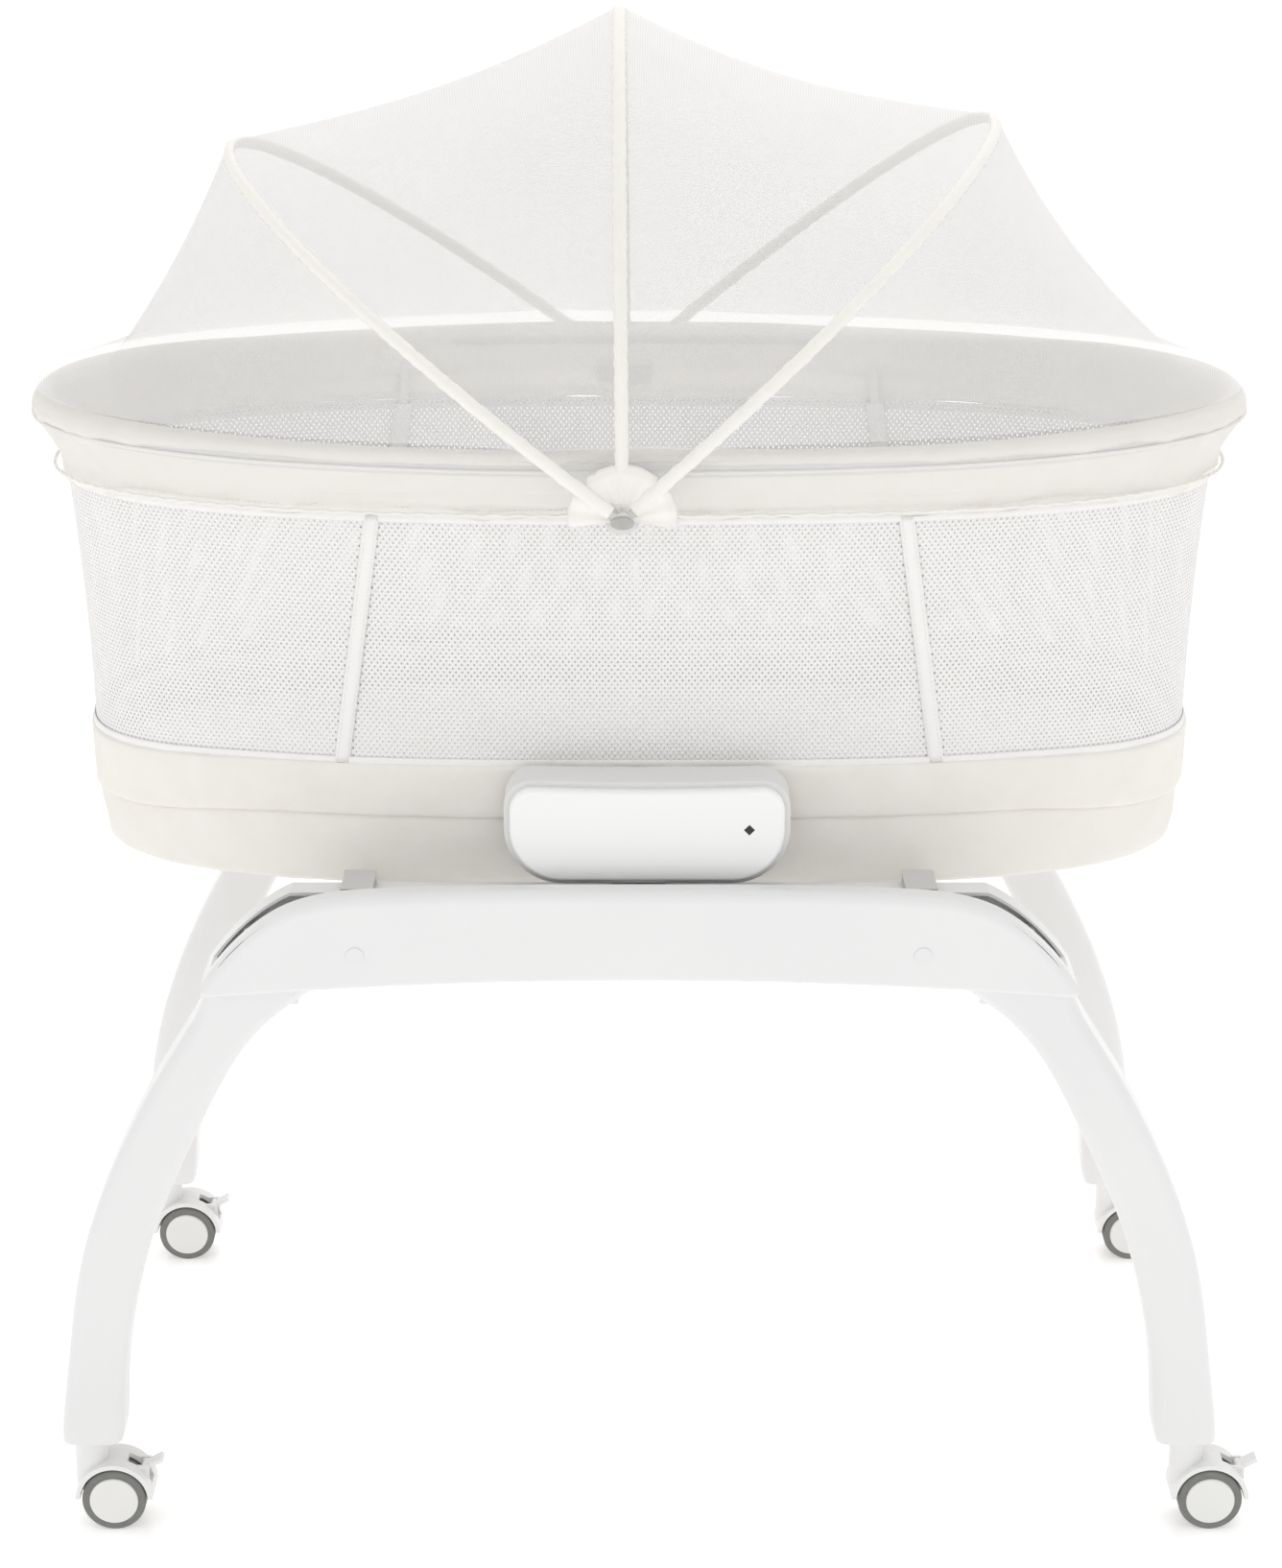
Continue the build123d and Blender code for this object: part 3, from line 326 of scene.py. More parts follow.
# ---------------------------------------------------------------- casters
# Twin-wheel casters 50 mm across: a white hood over two grey treads with domed white caps,
# and a small brake tab at the back. The treads are dull rubber, scuffed where they roll.

hood_white = moulded("hood_white_nylon", (0.83, 0.83, 0.83), (0.87, 0.87, 0.87), 0.30, 0.00005)
cap_white = moulded("cap_white_nylon", (0.80, 0.80, 0.79), (0.85, 0.85, 0.84), 0.24, 0.00004)
tread = Finish("grey_tread", (0.20, 0.20, 0.19), 0.72)
tread_place = tread.place()
scuff = tread.noise(tread_place, 130.0, 4.0)
tread.colour(tread.tint(scuff, (0.155, 0.155, 0.148), (0.25, 0.25, 0.24)))
tread.rough(scuff * 0.25 + 0.58)
tread.bump(tread.noise(tread_place, 900.0), 0.00012)
for end in ("front", "rear"):
    for side in ("left", "right"):
        hood_white.dress(f"caster_{end}_{side}_housing", f"caster_{end}_{side}_brake")
        zinc.dress(f"caster_{end}_{side}_pins")
        tread.dress(f"caster_{end}_{side}_tyres")
        cap_white.dress(f"caster_{end}_{side}_hubs")


# ---------------------------------------------------------------- base cover
# A cream cotton skirt is pulled over the tray's edge and tacked underneath. A separate band
# of the same cloth is sewn on above it, so that its folded lower edge stands proud of the skirt.

def oval_ring(half_x, half_y, power, count):
    """Evenly spaced points round an oval, from its front middle, going left."""
    turn = np.linspace(0, 2 * math.pi, 4001)
    c, s = -np.cos(turn), -np.sin(turn)
    size = (np.abs(s) ** power + np.abs(c) ** power) ** (-1 / power)
    x, y = half_x * s * size, half_y * c * size
    along = np.concatenate([[0], np.cumsum(np.hypot(np.diff(x), np.diff(y)))])
    even = np.linspace(0, along[-1], count, endpoint=False)
    return np.stack([np.interp(even, along, x), np.interp(even, along, y)], axis=1)


def cloth_panel(name, grid, finish, around=False, closed=False, thickness=0.0):
    """Cloth laid out as a grid of points, rows by columns, with a UV map in metres."""
    rows, columns = grid.shape[:2]
    step_u = np.linalg.norm(np.roll(grid, -1, axis=1) - grid, axis=2).mean(axis=0)
    step_v = np.linalg.norm(np.roll(grid, -1, axis=0) - grid, axis=2).mean(axis=1)
    u = np.concatenate([[0], np.cumsum(step_u)])
    v = np.concatenate([[0], np.cumsum(step_v)])
    i, j = np.meshgrid(np.arange(rows - 1 + closed), np.arange(columns - 1 + around), indexing="ij")
    i, j = i.ravel(), j.ravel()
    corners = [(i, j), (i, j + 1), (i + 1, j + 1), (i + 1, j)]
    faces = np.stack([(a % rows) * columns + b % columns for a, b in corners], axis=1)
    mesh = bpy.data.meshes.new(name)
    mesh.from_pydata(grid.reshape(-1, 3).tolist(), [], faces.tolist())
    layer = mesh.uv_layers.new(name="cloth")
    uv = np.stack([np.stack([u[b], v[a]], axis=1) for a, b in corners], axis=1)
    layer.data.foreach_set("uv", uv.astype(np.float32).ravel())
    mesh.shade_smooth()
    mesh.materials.append(finish.material)
    piece = bpy.data.objects.new(name, mesh)
    scene.collection.objects.link(piece)
    if thickness:
        wall = piece.modifiers.new("wall", "SOLIDIFY")
        wall.thickness = thickness
        wall.offset = -1.0
    return piece


def ease(value, start, end):
    """0 before start, 1 after end, and a smooth change between."""
    t = np.clip((value - start) / (end - start), 0.0, 1.0)
    return t * t * (3 - 2 * t)


def woven(name, low, high, pitch, nap, **uniform):
    """Plain woven cloth: crossed threads, slight slubs in the colour and a soft surface."""
    finish = Finish(name, high, 0.86, **uniform)
    thread = finish.cloth()
    cross = (thread.part(0) * (2 * math.pi / pitch)).cos() * (thread.part(1) * (2 * math.pi / pitch)).cos()
    place = finish.place()
    slub = finish.noise(place, 34.0, 4.0)
    # Besides the slubs, the thread crossings put a faint painted shade in the hollows between threads and a
    # faint painted highlight on their crests.
    finish.colour(finish.tint(slub + cross * 0.05, low, high))
    finish.rough(slub * 0.12 + 0.78)
    finish.bump(cross * 0.35 + finish.noise(place, 520.0, 3.0) + slub * nap, 0.00022)
    return finish


cream_cotton = woven("cream_cotton", (0.895, 0.862, 0.812), (0.955, 0.93, 0.89), 0.0009, 2.0,
                     sheen_weight=0.15, sheen_roughness=0.5)
tray_low, tray_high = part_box("base_cover")
foot_a, foot_b = 0.424, 0.190
band_a, band_b = tray_high.x, tray_high.y
TRAY_POWER = 2.9
RING = 520


def wall_ring(z, out):
    """The basket's lower wall at a height, moved outwards."""
    share = np.clip((z - tray_low.z) / (tray_high.z - tray_low.z), 0.0, 1.0)
    a = foot_a + (band_a - foot_a) * share + out
    b = foot_b + (band_b - foot_b) * share + out
    return a, b


def stitch_group():
    """Geometry nodes that lay short thread stitches, one after another, along a line."""
    group = bpy.data.node_groups.new("stitches", "GeometryNodeTree")
    kinds = {"Line": "Geometry", "Pitch": "Float", "Stitch": "Float", "Thread": "Float", "Seed": "Int",
             "Material": "Material"}
    for label, kind in kinds.items():
        group.interface.new_socket(label, in_out="INPUT", socket_type="NodeSocket" + kind)
    group.interface.new_socket("Stitches", in_out="OUTPUT", socket_type="NodeSocketGeometry")

    def node(kind, settings, sockets):
        made = group.nodes.new(kind)
        for name, value in settings.items():
            setattr(made, name, value)
        for key, value in sockets.items():
            if isinstance(value, bpy.types.NodeSocket):
                group.links.new(value, made.inputs[key])
            else:
                made.inputs[key].default_value = value
        return made

    given = group.nodes.new("NodeGroupInput").outputs
    line = node("GeometryNodeMeshToCurve", {}, {"Mesh": given["Line"]}).outputs[0]
    even = node("GeometryNodeResampleCurve", {"mode": "LENGTH"}, {"Curve": line, "Length": given["Pitch"]})
    bead = node("GeometryNodeMeshUVSphere", {}, {"Segments": 8, "Rings": 5, "Radius": 0.5})
    spread = {2: 0.86, 3: 1.08, "Seed": given["Seed"]}
    uneven = node("FunctionNodeRandomValue", {"data_type": "FLOAT"}, spread)
    length = node("ShaderNodeMath", {"operation": "MULTIPLY"}, {0: given["Stitch"], 1: uneven.outputs[1]})
    thread = given["Thread"]
    size = node("ShaderNodeCombineXYZ", {}, {0: length.outputs[0], 1: thread, 2: thread})
    tangent = group.nodes.new("GeometryNodeInputTangent").outputs[0]
    turn = node("FunctionNodeAlignRotationToVector", {"axis": "X"}, {"Vector": tangent})
    laid = node("GeometryNodeInstanceOnPoints", {}, {
        "Points": even.outputs[0],
        "Instance": bead.outputs[0],
        "Rotation": turn.outputs[0],
        "Scale": size.outputs[0],
    })
    real = node("GeometryNodeRealizeInstances", {}, {"Geometry": laid.outputs[0]}).outputs[0]
    dress = node("GeometryNodeSetMaterial", {}, {"Geometry": real, "Material": given["Material"]})
    dressed = dress.outputs[0]
    group.links.new(dressed, group.nodes.new("NodeGroupOutput").inputs[0])
    return group


stitches = stitch_group()


def stitched(name, lines, finish, around=True, pitch=0.0044, stitch=0.0033, thread=0.0009, seed=3):
    """A row of stitches along each line of points, as one piece."""
    verts, edges = [], []
    for line in lines:
        first, count = len(verts), len(line)
        verts += [tuple(point) for point in line]
        edges += [(first + k, first + (k + 1) % count) for k in range(count if around else count - 1)]
    carrier = bpy.data.meshes.new(name + "_line")
    carrier.from_pydata(verts, edges, [])
    piece = bpy.data.objects.new(name, carrier)
    scene.collection.objects.link(piece)
    sewing = piece.modifiers.new("sewing", "NODES")
    sewing.node_group = stitches
    values = {"Pitch": pitch, "Stitch": stitch, "Thread": thread, "Seed": seed, "Material": finish.material}
    for item in stitches.interface.items_tree:
        if item.in_out == "INPUT" and item.name in values:
            sewing[item.identifier] = values[item.name]
    sewn = piece.evaluated_get(bpy.context.evaluated_depsgraph_get())
    mesh = bpy.data.meshes.new_from_object(sewn)
    piece.modifiers.remove(sewing)
    piece.data = mesh
    mesh.name = name
    mesh.shade_smooth()
    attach(piece, "cradle")
    return piece


def wrapped(levels, droop, ripple=0.0004):
    """Cloth wrapped round the wall: rows of height, outward reach and share of the ends' droop."""
    unit = oval_ring(band_a, band_b, TRAY_POWER, RING)
    ends = ease(np.abs(unit[:, 0]) / band_a, 0.62, 1.0)
    along = np.arange(RING) * (2 * math.pi / RING)
    rows = []
    for z, out, share in levels:
        a, b = wall_ring(z, out)
        wave = ripple * (np.sin(along * 23 + z * 90) + 0.7 * np.sin(along * 41 - z * 140 + 1.3))
        scale = np.stack([(a + wave) / band_a, (b + wave) / band_b], axis=1)
        ring = unit * scale
        rows.append(np.column_stack([ring, z - droop * share * ends]))
    return np.array(rows)


skirt_levels = [(tray_low.z - 0.0004, -0.030, 0.0), (tray_low.z - 0.0006, -0.016, 0.0),
                (tray_low.z - 0.0004, -0.006, 0.0), (tray_low.z + 0.0006, -0.0018, 0.0),
                (tray_low.z + 0.0035, 0.0004, 0.0)]
skirt_levels += [(tray_low.z + 0.008 + k * 0.0055, 0.0008 + 0.0006 * math.sin(k * 0.35), min(1.0, k / 8))
                 for k in range(10)]
skirt = cloth_panel("base_skirt", wrapped(skirt_levels, 0.012), cream_cotton, around=True, thickness=0.0012)
band_z = 0.564
band_levels = [(band_z + 0.0015, 0.0006, 1.0), (band_z - 0.0002, 0.0016, 1.0),
               (band_z + 0.0002, 0.0030, 1.0), (band_z + 0.0022, 0.0036, 1.0)]
band_levels += [(band_z + 0.006 + k * 0.0045, 0.0034 - 0.0002 * k, 1.0 - 0.06 * k) for k in range(8)]
band_levels += [(tray_high.z + 0.0004, 0.0014, 0.5), (tray_high.z + 0.0008, -0.0004, 0.5)]
band = cloth_panel("base_band", wrapped(band_levels, 0.013), cream_cotton, around=True, thickness=0.0012)
seam_thread = Finish("cotton_thread", (0.86, 0.83, 0.78), 0.70)
seam_thread.bump(seam_thread.noise(seam_thread.place(), 2400.0), 0.0001)
band_row = wrapped([(band_z + 0.0060, 0.0036, 1.0)], 0.013)[0]
band_stitches = stitched("band_stitches", [band_row], seam_thread)
for piece, tall, rests, sewn_on in (
    (skirt, 0.094, ["base_tray"], []),
    (band, 0.047, ["base_skirt"], [band_stitches]),
):
    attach(piece, "cradle")
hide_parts("base_cover")
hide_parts("base_cover")


# ---------------------------------------------------------------- mattress
# A foam mattress in quilted cotton ticking: a top and a bottom panel joined to a side strip by
# a corded seam. The panels crown over the foam, and the quilting pulls them down in diamonds.

def puff(piece, held, pressure, cap, frames=20):
    """Blow a sewn cover up with the cloth solver, holding its seams, then keep each point near home."""
    seams = piece.vertex_groups.new(name="seams")
    seams.add(held, 1.0, "REPLACE")
    cloth = piece.modifiers.new("cloth", "CLOTH")
    cloth.settings.quality = 5
    cloth.settings.mass = 0.25
    cloth.settings.tension_stiffness = 12.0
    cloth.settings.compression_stiffness = 12.0
    cloth.settings.shear_stiffness = 4.0
    cloth.settings.bending_stiffness = 0.4
    cloth.settings.use_pressure = True
    cloth.settings.uniform_pressure_force = pressure
    cloth.settings.vertex_group_mass = "seams"
    cloth.settings.effector_weights.gravity = 0.0
    cloth.collision_settings.use_collision = False
    cloth.point_cache.frame_start = 1
    cloth.point_cache.frame_end = frames
    for step in range(1, frames + 1):
        scene.frame_set(step)
    blown = piece.evaluated_get(bpy.context.evaluated_depsgraph_get())
    count = len(piece.data.vertices)
    home = np.empty(count * 3, np.float32)
    away = np.empty(count * 3, np.float32)
    piece.data.vertices.foreach_get("co", home)
    blown.data.vertices.foreach_get("co", away)
    shift = (away - home).reshape(-1, 3)
    length = np.linalg.norm(shift, axis=1, keepdims=True)
    shift *= np.minimum(1.0, cap / np.maximum(length, 1e-9))
    piece.modifiers.remove(cloth)
    piece.vertex_groups.remove(seams)
    piece.data.vertices.foreach_set("co", (home + shift.ravel()).astype(np.float32))
    piece.data.update()
    scene.frame_set(1)


def corded(name, line, radius, finish, around=True, sides=10):
    """A round cord along a line of points."""
    ahead = np.roll(line, -1, axis=0) - np.roll(line, 1, axis=0)
    if not around:
        ahead[0], ahead[-1] = line[1] - line[0], line[-1] - line[-2]
    ahead /= np.linalg.norm(ahead, axis=1, keepdims=True)
    up = np.array([0.0, 0.0, 1.0])
    side = np.cross(ahead, up)
    side /= np.maximum(np.linalg.norm(side, axis=1, keepdims=True), 1e-9)
    over = np.cross(side, ahead)
    rows = []
    for k in range(sides):
        turn = 2 * math.pi * k / sides
        rows.append(line + radius * (math.cos(turn) * side + math.sin(turn) * over))
    return cloth_panel(name, np.array(rows), finish, around=around, closed=True)


ticking = woven("mattress_ticking", (0.89, 0.875, 0.85), (0.94, 0.93, 0.91), 0.0012, 1.4,
                sheen_weight=0.10, sheen_roughness=0.5)
mat_low, mat_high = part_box("mattress")
mat_a, mat_b = mat_high.x - 0.001, mat_high.y - 0.001
RIM_COUNT = 300


def mattress_rows():
    """Rings from the middle of the top, over the side and in to the middle of the bottom."""
    unit = oval_ring(mat_a, mat_b, TRAY_POWER, RIM_COUNT)
    rows = []
    shares = 1 - (1 - np.linspace(0.02, 1.0, 44)) ** 1.15
    for share in shares:
        ring = unit * share
        crown = 0.006 * (1 - share ** 4)
        quilt = 0.0016 * np.cos((ring[:, 0] + ring[:, 1]) * 62) * np.cos((ring[:, 0] - ring[:, 1]) * 62)
        z = mat_high.z - 0.011 + crown + quilt * (1 - share ** 6)
        rows.append(np.column_stack([ring, z]))
    for k in range(1, 9):
        z = mat_high.z - 0.011 - (mat_high.z - mat_low.z - 0.016) * k / 9
        swell = 1 + 0.004 * math.sin(math.pi * k / 9)
        rows.append(np.column_stack([unit * swell, np.full(len(unit), z)]))
    for share in shares[::-1]:
        rows.append(np.column_stack([unit * share, np.full(len(unit), mat_low.z + 0.004)]))
    return np.array(rows)


mat_grid = mattress_rows()
mattress = cloth_panel("mattress_pad", mat_grid[::-1], ticking, around=True)
mat_rows = mat_grid.shape[0]
poles = []
for row in (0, mat_rows - 1):
    ring = [row * RIM_COUNT + k for k in range(RIM_COUNT)]
    poles.append(ring if row else ring[::-1])
pads = mattress.data
verts = [tuple(v.co) for v in pads.vertices]
uvs = np.empty(len(pads.loops) * 2, np.float32)
pads.uv_layers["cloth"].data.foreach_get("uv", uvs)
loops = [list(p.vertices) for p in pads.polygons]
closed = bpy.data.meshes.new("mattress_pad")
caps = []
for ring in poles:
    verts.append(tuple(np.mean([verts[k] for k in ring], axis=0)))
    middle = len(verts) - 1
    caps += [[ring[(k + 1) % RIM_COUNT], ring[k], middle] for k in range(RIM_COUNT)]
closed.from_pydata(verts, [], loops + caps)
closed.uv_layers.new(name="cloth")
full = np.concatenate([uvs, np.zeros(len(caps) * 6, np.float32)])
closed.uv_layers["cloth"].data.foreach_set("uv", full)
closed.shade_smooth()
closed.materials.append(ticking.material)
mattress.data = closed
edge_top = mat_rows - 44
edge_low = 43
held = [k for row in (edge_top, edge_low) for k in range(row * RIM_COUNT, (row + 1) * RIM_COUNT)]
puff(mattress, held, 3.0, 0.006)
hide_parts("mattress")
seam_lines = []
for tag, z in (("top", mat_high.z - 0.011), ("low", mat_low.z + 0.005)):
    ring = oval_ring(mat_a, mat_b, TRAY_POWER, RIM_COUNT)
    seam_lines.append(corded(f"mattress_cord_{tag}", np.column_stack([ring, np.full(RIM_COUNT, z)]),
                             0.0022, ticking))
for piece in (mattress, *seam_lines):
    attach(piece, "cradle")


# ---------------------------------------------------------------- mesh wall
# Knitted spacer mesh with staggered diamond holes lets air through between the band and the
# rim. White bindings close its two edges, and sewn channels carry it on the four uprights.

wall_low, wall_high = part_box("mesh_wall")
hem_a, hem_b = wall_high.x, wall_high.y
HEM_POWER = 2.575
MESH_COLUMNS = 560


def wall_line(height, out=0.0, count=MESH_COLUMNS):
    """The mesh wall's outline at a height."""
    share = (height - wall_low.z) / (wall_high.z - wall_low.z)
    low = oval_ring(band_a - 0.0005, band_b - 0.0005, TRAY_POWER, count)
    high = oval_ring(hem_a, hem_b, HEM_POWER, count)
    ring = low + (high - low) * share
    pull = 0.0028 * math.sin(math.pi * np.clip(share, 0, 1))
    length = np.linalg.norm(ring, axis=1, keepdims=True)
    return ring * (1 + (out - pull) / length)


knit = Finish("spacer_mesh", (0.95, 0.945, 0.94), 0.70, sheen_weight=0.08)
knit_cloth = knit.cloth()
HOLE_PITCH_U, HOLE_PITCH_V = 0.0046, 0.0060
knit_u = knit_cloth.part(0) * (2 * math.pi / HOLE_PITCH_U)
knit_v = knit_cloth.part(1) * (2 * math.pi / HOLE_PITCH_V)
holes = knit_u.cos() * knit_v.cos()
knit_noise = knit.noise(knit.place(), 46.0, 3.0)
openness = holes - knit_noise * 0.16
knit.colour(knit.tint(knit_noise, (0.90, 0.89, 0.886), (0.945, 0.938, 0.934)))
knit.bump(0.6 - holes, 0.0006, 0.8)
knit.feed(knit.shader.inputs["Alpha"], 1.0 - (openness > 0.50) * 0.62)

white_tape = woven("white_binding", (0.92, 0.91, 0.90), (0.96, 0.955, 0.95), 0.0011, 1.0, sheen_weight=0.10)
mesh_rows = []
for height in np.linspace(wall_low.z - 0.002, wall_high.z + 0.003, 42):
    line = wall_line(height)
    share = np.clip((height - wall_low.z) / (wall_high.z - wall_low.z), 0, 1)
    turn = np.arange(MESH_COLUMNS) * (2 * math.pi / MESH_COLUMNS)
    wave = 0.0006 * np.sin(turn * 17 + share * 3) * math.sin(math.pi * share)
    tips = ease(np.abs(line[:, 0]) / hem_a, 0.62, 1.0)
    length = np.linalg.norm(line, axis=1)
    waved = line * (1 + wave / length)[:, None]
    mesh_rows.append(np.column_stack([waved, height - 0.006 * tips * (1 - share)]))
mesh_wall = cloth_panel("mesh_wall_cloth", np.array(mesh_rows), knit, around=True)


def binding(name, low, high, out, sag=0.0):
    """A narrow tape round the wall."""
    rows = []
    for height, extra in ((low, 0.0), (low + 0.0008, 0.0007), ((low + high) / 2, 0.0009),
                          (high - 0.0008, 0.0007), (high, 0.0)):
        line = wall_line(height, out + extra)
        tips = ease(np.abs(line[:, 0]) / hem_a, 0.62, 1.0)
        rows.append(np.column_stack([line, height - sag * tips]))
    return cloth_panel(name, np.array(rows), white_tape, around=True, thickness=0.0008)


low_tape = binding("mesh_tape_low", wall_low.z, wall_low.z + 0.006, 0.0004, 0.006)
high_tape = binding("mesh_tape_high", wall_high.z - 0.004, wall_high.z + 0.002, 0.0006)

UPRIGHT_FOOT_X, UPRIGHT_HEAD_X = 0.225, 0.197
channels = []
channel_rows = []
for end, sy in (("front", -1), ("rear", 1)):
    for side, sx in (("left", -1), ("right", 1)):
        outer, inner = [], []
        for share in np.linspace(0.0, 1.0, 30):
            height = wall_low.z + 0.002 + (wall_high.z - wall_low.z - 0.001) * share
            x = sx * (UPRIGHT_FOOT_X + (UPRIGHT_HEAD_X - UPRIGHT_FOOT_X) * share)
            ring = wall_line(height, 0.0)
            near = ring[np.sign(ring[:, 1]) == sy]
            order = np.argsort(near[:, 0])
            row_out, row_in = [], []
            for k in range(11):
                across = (k - 5) / 5
                place_x = x + 0.0062 * across
                y = np.interp(place_x, near[order, 0], near[order, 1])
                lift = 0.0022 * math.sqrt(max(0.0, 1 - across ** 2)) + 0.0006
                row_out.append((place_x, y + sy * lift, height))
                depth = 0.0125 * math.sqrt(max(0.0, 1 - across ** 2)) + 0.0006
                row_in.append((x + 0.0078 * across, y - sy * depth, height))
            outer.append(row_out)
            inner.append(row_in)
        for k in (2, 8):
            channel_rows.append([(x, y + sy * 0.0002, z) for x, y, z in (row[k] for row in outer)])
        for tag, rows in (("channel", outer), ("sleeve", inner)):
            panel = cloth_panel(f"upright_{tag}_{end}_{side}", np.array(rows), white_tape, thickness=0.0007)
            channels.append(panel)
channel_stitches = stitched("channel_stitches", channel_rows, seam_thread, around=False, pitch=0.0038,
                            stitch=0.0028, thread=0.0006)
for piece in (mesh_wall, low_tape, high_tape, *channels):
    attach(piece, "cradle")
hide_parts("mesh_wall")


# ---------------------------------------------------------------- rim pad
# A padded cream collar is sewn round the upper hoop. It flares out from its hem over the mesh,
# rolls over the hoop and comes down inside to a second hem. Piping marks its top seam.

rim_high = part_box("rim_pad")[1]
rim_a, rim_b, rim_top = rim_high.x, rim_high.y, rim_high.z
RIM_COLUMNS = 460
collar = [  # reach in from the widest oval along and across, height below the crest, outline power
    (0.0265, 0.0425, 0.0620, 2.58), (0.0225, 0.0370, 0.0560, 2.52), (0.0175, 0.0290, 0.0465, 2.44),
    (0.0115, 0.0195, 0.0365, 2.36), (0.0058, 0.0100, 0.0270, 2.29), (0.0022, 0.0038, 0.0190, 2.25),
    (0.0006, 0.0010, 0.0125, 2.25), (0.0018, 0.0018, 0.0065, 2.25), (0.0052, 0.0050, 0.0022, 2.25),
    (0.0100, 0.0096, 0.0004, 2.25), (0.0150, 0.0145, 0.0012, 2.25), (0.0192, 0.0190, 0.0046, 2.26),
    (0.0220, 0.0222, 0.0105, 2.28), (0.0235, 0.0245, 0.0180, 2.31), (0.0248, 0.0272, 0.0270, 2.35),
    (0.0262, 0.0305, 0.0360, 2.40), (0.0280, 0.0342, 0.0450, 2.46), (0.0300, 0.0382, 0.0540, 2.52),
    (0.0318, 0.0412, 0.0605, 2.56),
]


def collar_profile(steps):
    """The collar's section, smoothed through its stations."""
    table = np.array(collar)
    gap = np.hypot(np.diff(table[:, 0] + table[:, 1]) / 2, np.diff(table[:, 2]))
    along = np.concatenate([[0], np.cumsum(gap)])
    even = np.linspace(0, along[-1], steps)
    return np.stack([np.interp(even, along, table[:, k]) for k in range(4)], axis=1)


rim_turn = np.arange(RIM_COLUMNS) * (2 * math.pi / RIM_COLUMNS)
collar_rows = []
profile = collar_profile(38)
for number, (in_a, in_b, drop, power) in enumerate(profile):
    ring = oval_ring(rim_a - in_a, rim_b - in_b, power, RIM_COLUMNS)
    hem = math.exp(-number / 4.0)
    inner_hem = math.exp(-(len(profile) - 1 - number) / 4.0)
    tips = ease(np.abs(ring[:, 0]) / rim_a, 0.6, 1.0)
    pucker = (0.0011 * hem + 0.0009 * inner_hem) * (
        np.sin(rim_turn * 61) + 0.8 * np.sin(rim_turn * 97 + 1.1) + 0.5 * np.sin(rim_turn * 23 + 0.4))
    wave = 0.0022 * hem * (np.sin(rim_turn * 13 + 0.7) + 0.6 * np.sin(rim_turn * 29 + 2.0))
    length = np.linalg.norm(ring, axis=1)
    z = rim_top - drop + wave - 0.006 * hem * tips
    collar_rows.append(np.column_stack([ring * (1 + pucker / length)[:, None], z]))
cream_pad = woven("cream_rim_cotton", (0.915, 0.885, 0.835), (0.965, 0.945, 0.905), 0.0009, 2.4,
                  sheen_weight=0.15, sheen_roughness=0.5)
rim = cloth_panel("rim_collar", np.array(collar_rows), cream_pad, around=True, closed=True)
last = len(profile) - 1
held = [row * RIM_COLUMNS + k for row in (0, last) for k in range(RIM_COLUMNS)]
puff(rim, held, 4.0, 0.004)
fine = rim.modifiers.new("fine", "SUBSURF")
fine.levels = fine.render_levels = 1
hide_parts("rim_pad")
sewn_rim = np.empty(len(rim.data.vertices) * 3, np.float32)
rim.data.vertices.foreach_get("co", sewn_rim)
hem_row = sewn_rim.reshape(-1, RIM_COLUMNS, 3)[2] * np.array([1.0015, 1.003, 1.0])
rim_stitches = stitched("rim_stitches", [hem_row], seam_thread, seed=5)
crest_line = collar_rows[13] * np.array([1.001, 1.001, 1.0]) + np.array([0, 0, 0.0012])
piping = corded("rim_piping", crest_line, 0.0013, cream_pad)
for piece in (rim, piping):
    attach(piece, "cradle")


# ---------------------------------------------------------------- canopy
# Three sprung bows turn on one rivet each side. Cream sleeves hold fine insect netting on them:
# it spans between the bows and lies over the collar, where an elastic hem draws it in under it.

hub = next(j for j in frame["joints"] if j["name"] == "canopy_fold")["pos_m"]
BOW_WIRE = 0.0022


def bow_shape(name):
    """A bow's lean, reach and half width, from where its CAD piece is."""
    low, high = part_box(name)
    left = abs(low.x - hub[0]) > abs(high.x - hub[0])
    tip_x = low.x + BOW_WIRE if left else high.x - BOW_WIRE
    tip_z = high.z - BOW_WIRE
    if abs(tip_x - hub[0]) < 0.02:
        tip_x = hub[0] - 0.003
    over, up = tip_x - hub[0], tip_z - hub[2]
    return math.atan2(over, up), math.hypot(over, up), high.y - 0.0023


def arch(name, turn, out=0.0):
    """Points along a bow, from its front rivet over the top to the rear one."""
    lean, reach, half = bow_shape(name)
    reach, half = reach + out, half + out * 0.4
    rise = reach * np.sin(turn)
    x, z = hub[0] + rise * math.sin(lean), hub[2] + rise * math.cos(lean)
    return np.stack([x, -half * np.cos(turn), z], axis=-1)


HEM_STATION, BRIM_STATION, CREST_STATION = 0.6, 6.5, 9.5
TIP_CHORD = {-1: 0.418, 1: 0.431}
CLEAR = 0.0052


def over_collar(side, turn, station, chord=2.0):
    """Points over the collar: round the rim by turn, at a station of its section, clear of the cloth."""
    numbers = np.arange(len(collar))
    in_a, in_b, drop, power = (np.interp(station, numbers, column) for column in zip(*collar))
    c, s = np.cos(turn), np.sin(turn)
    size = (np.abs(s) ** power + np.abs(c) ** power) ** (-1 / power)
    upward = ease(station, 6.0, 9.0)
    x = np.maximum((rim_a - in_a + CLEAR * (1 - upward)) * s * size, 1e-6)
    x = (x ** -14 + chord ** -14) ** (-1 / 14)
    y = -(rim_b - in_b + CLEAR * (1 - upward)) * c * size
    z = rim_top - drop + CLEAR * upward + 0.0 * x
    return np.stack([hub[0] * (1 - s) + side * x, y, z], axis=-1)


def brim_station(turn):
    """Where the netting leaves the collar: at its widest line, but past its crest at the tips."""
    return BRIM_STATION + (CREST_STATION - BRIM_STATION) * ease(np.sin(turn), 0.45, 0.90)


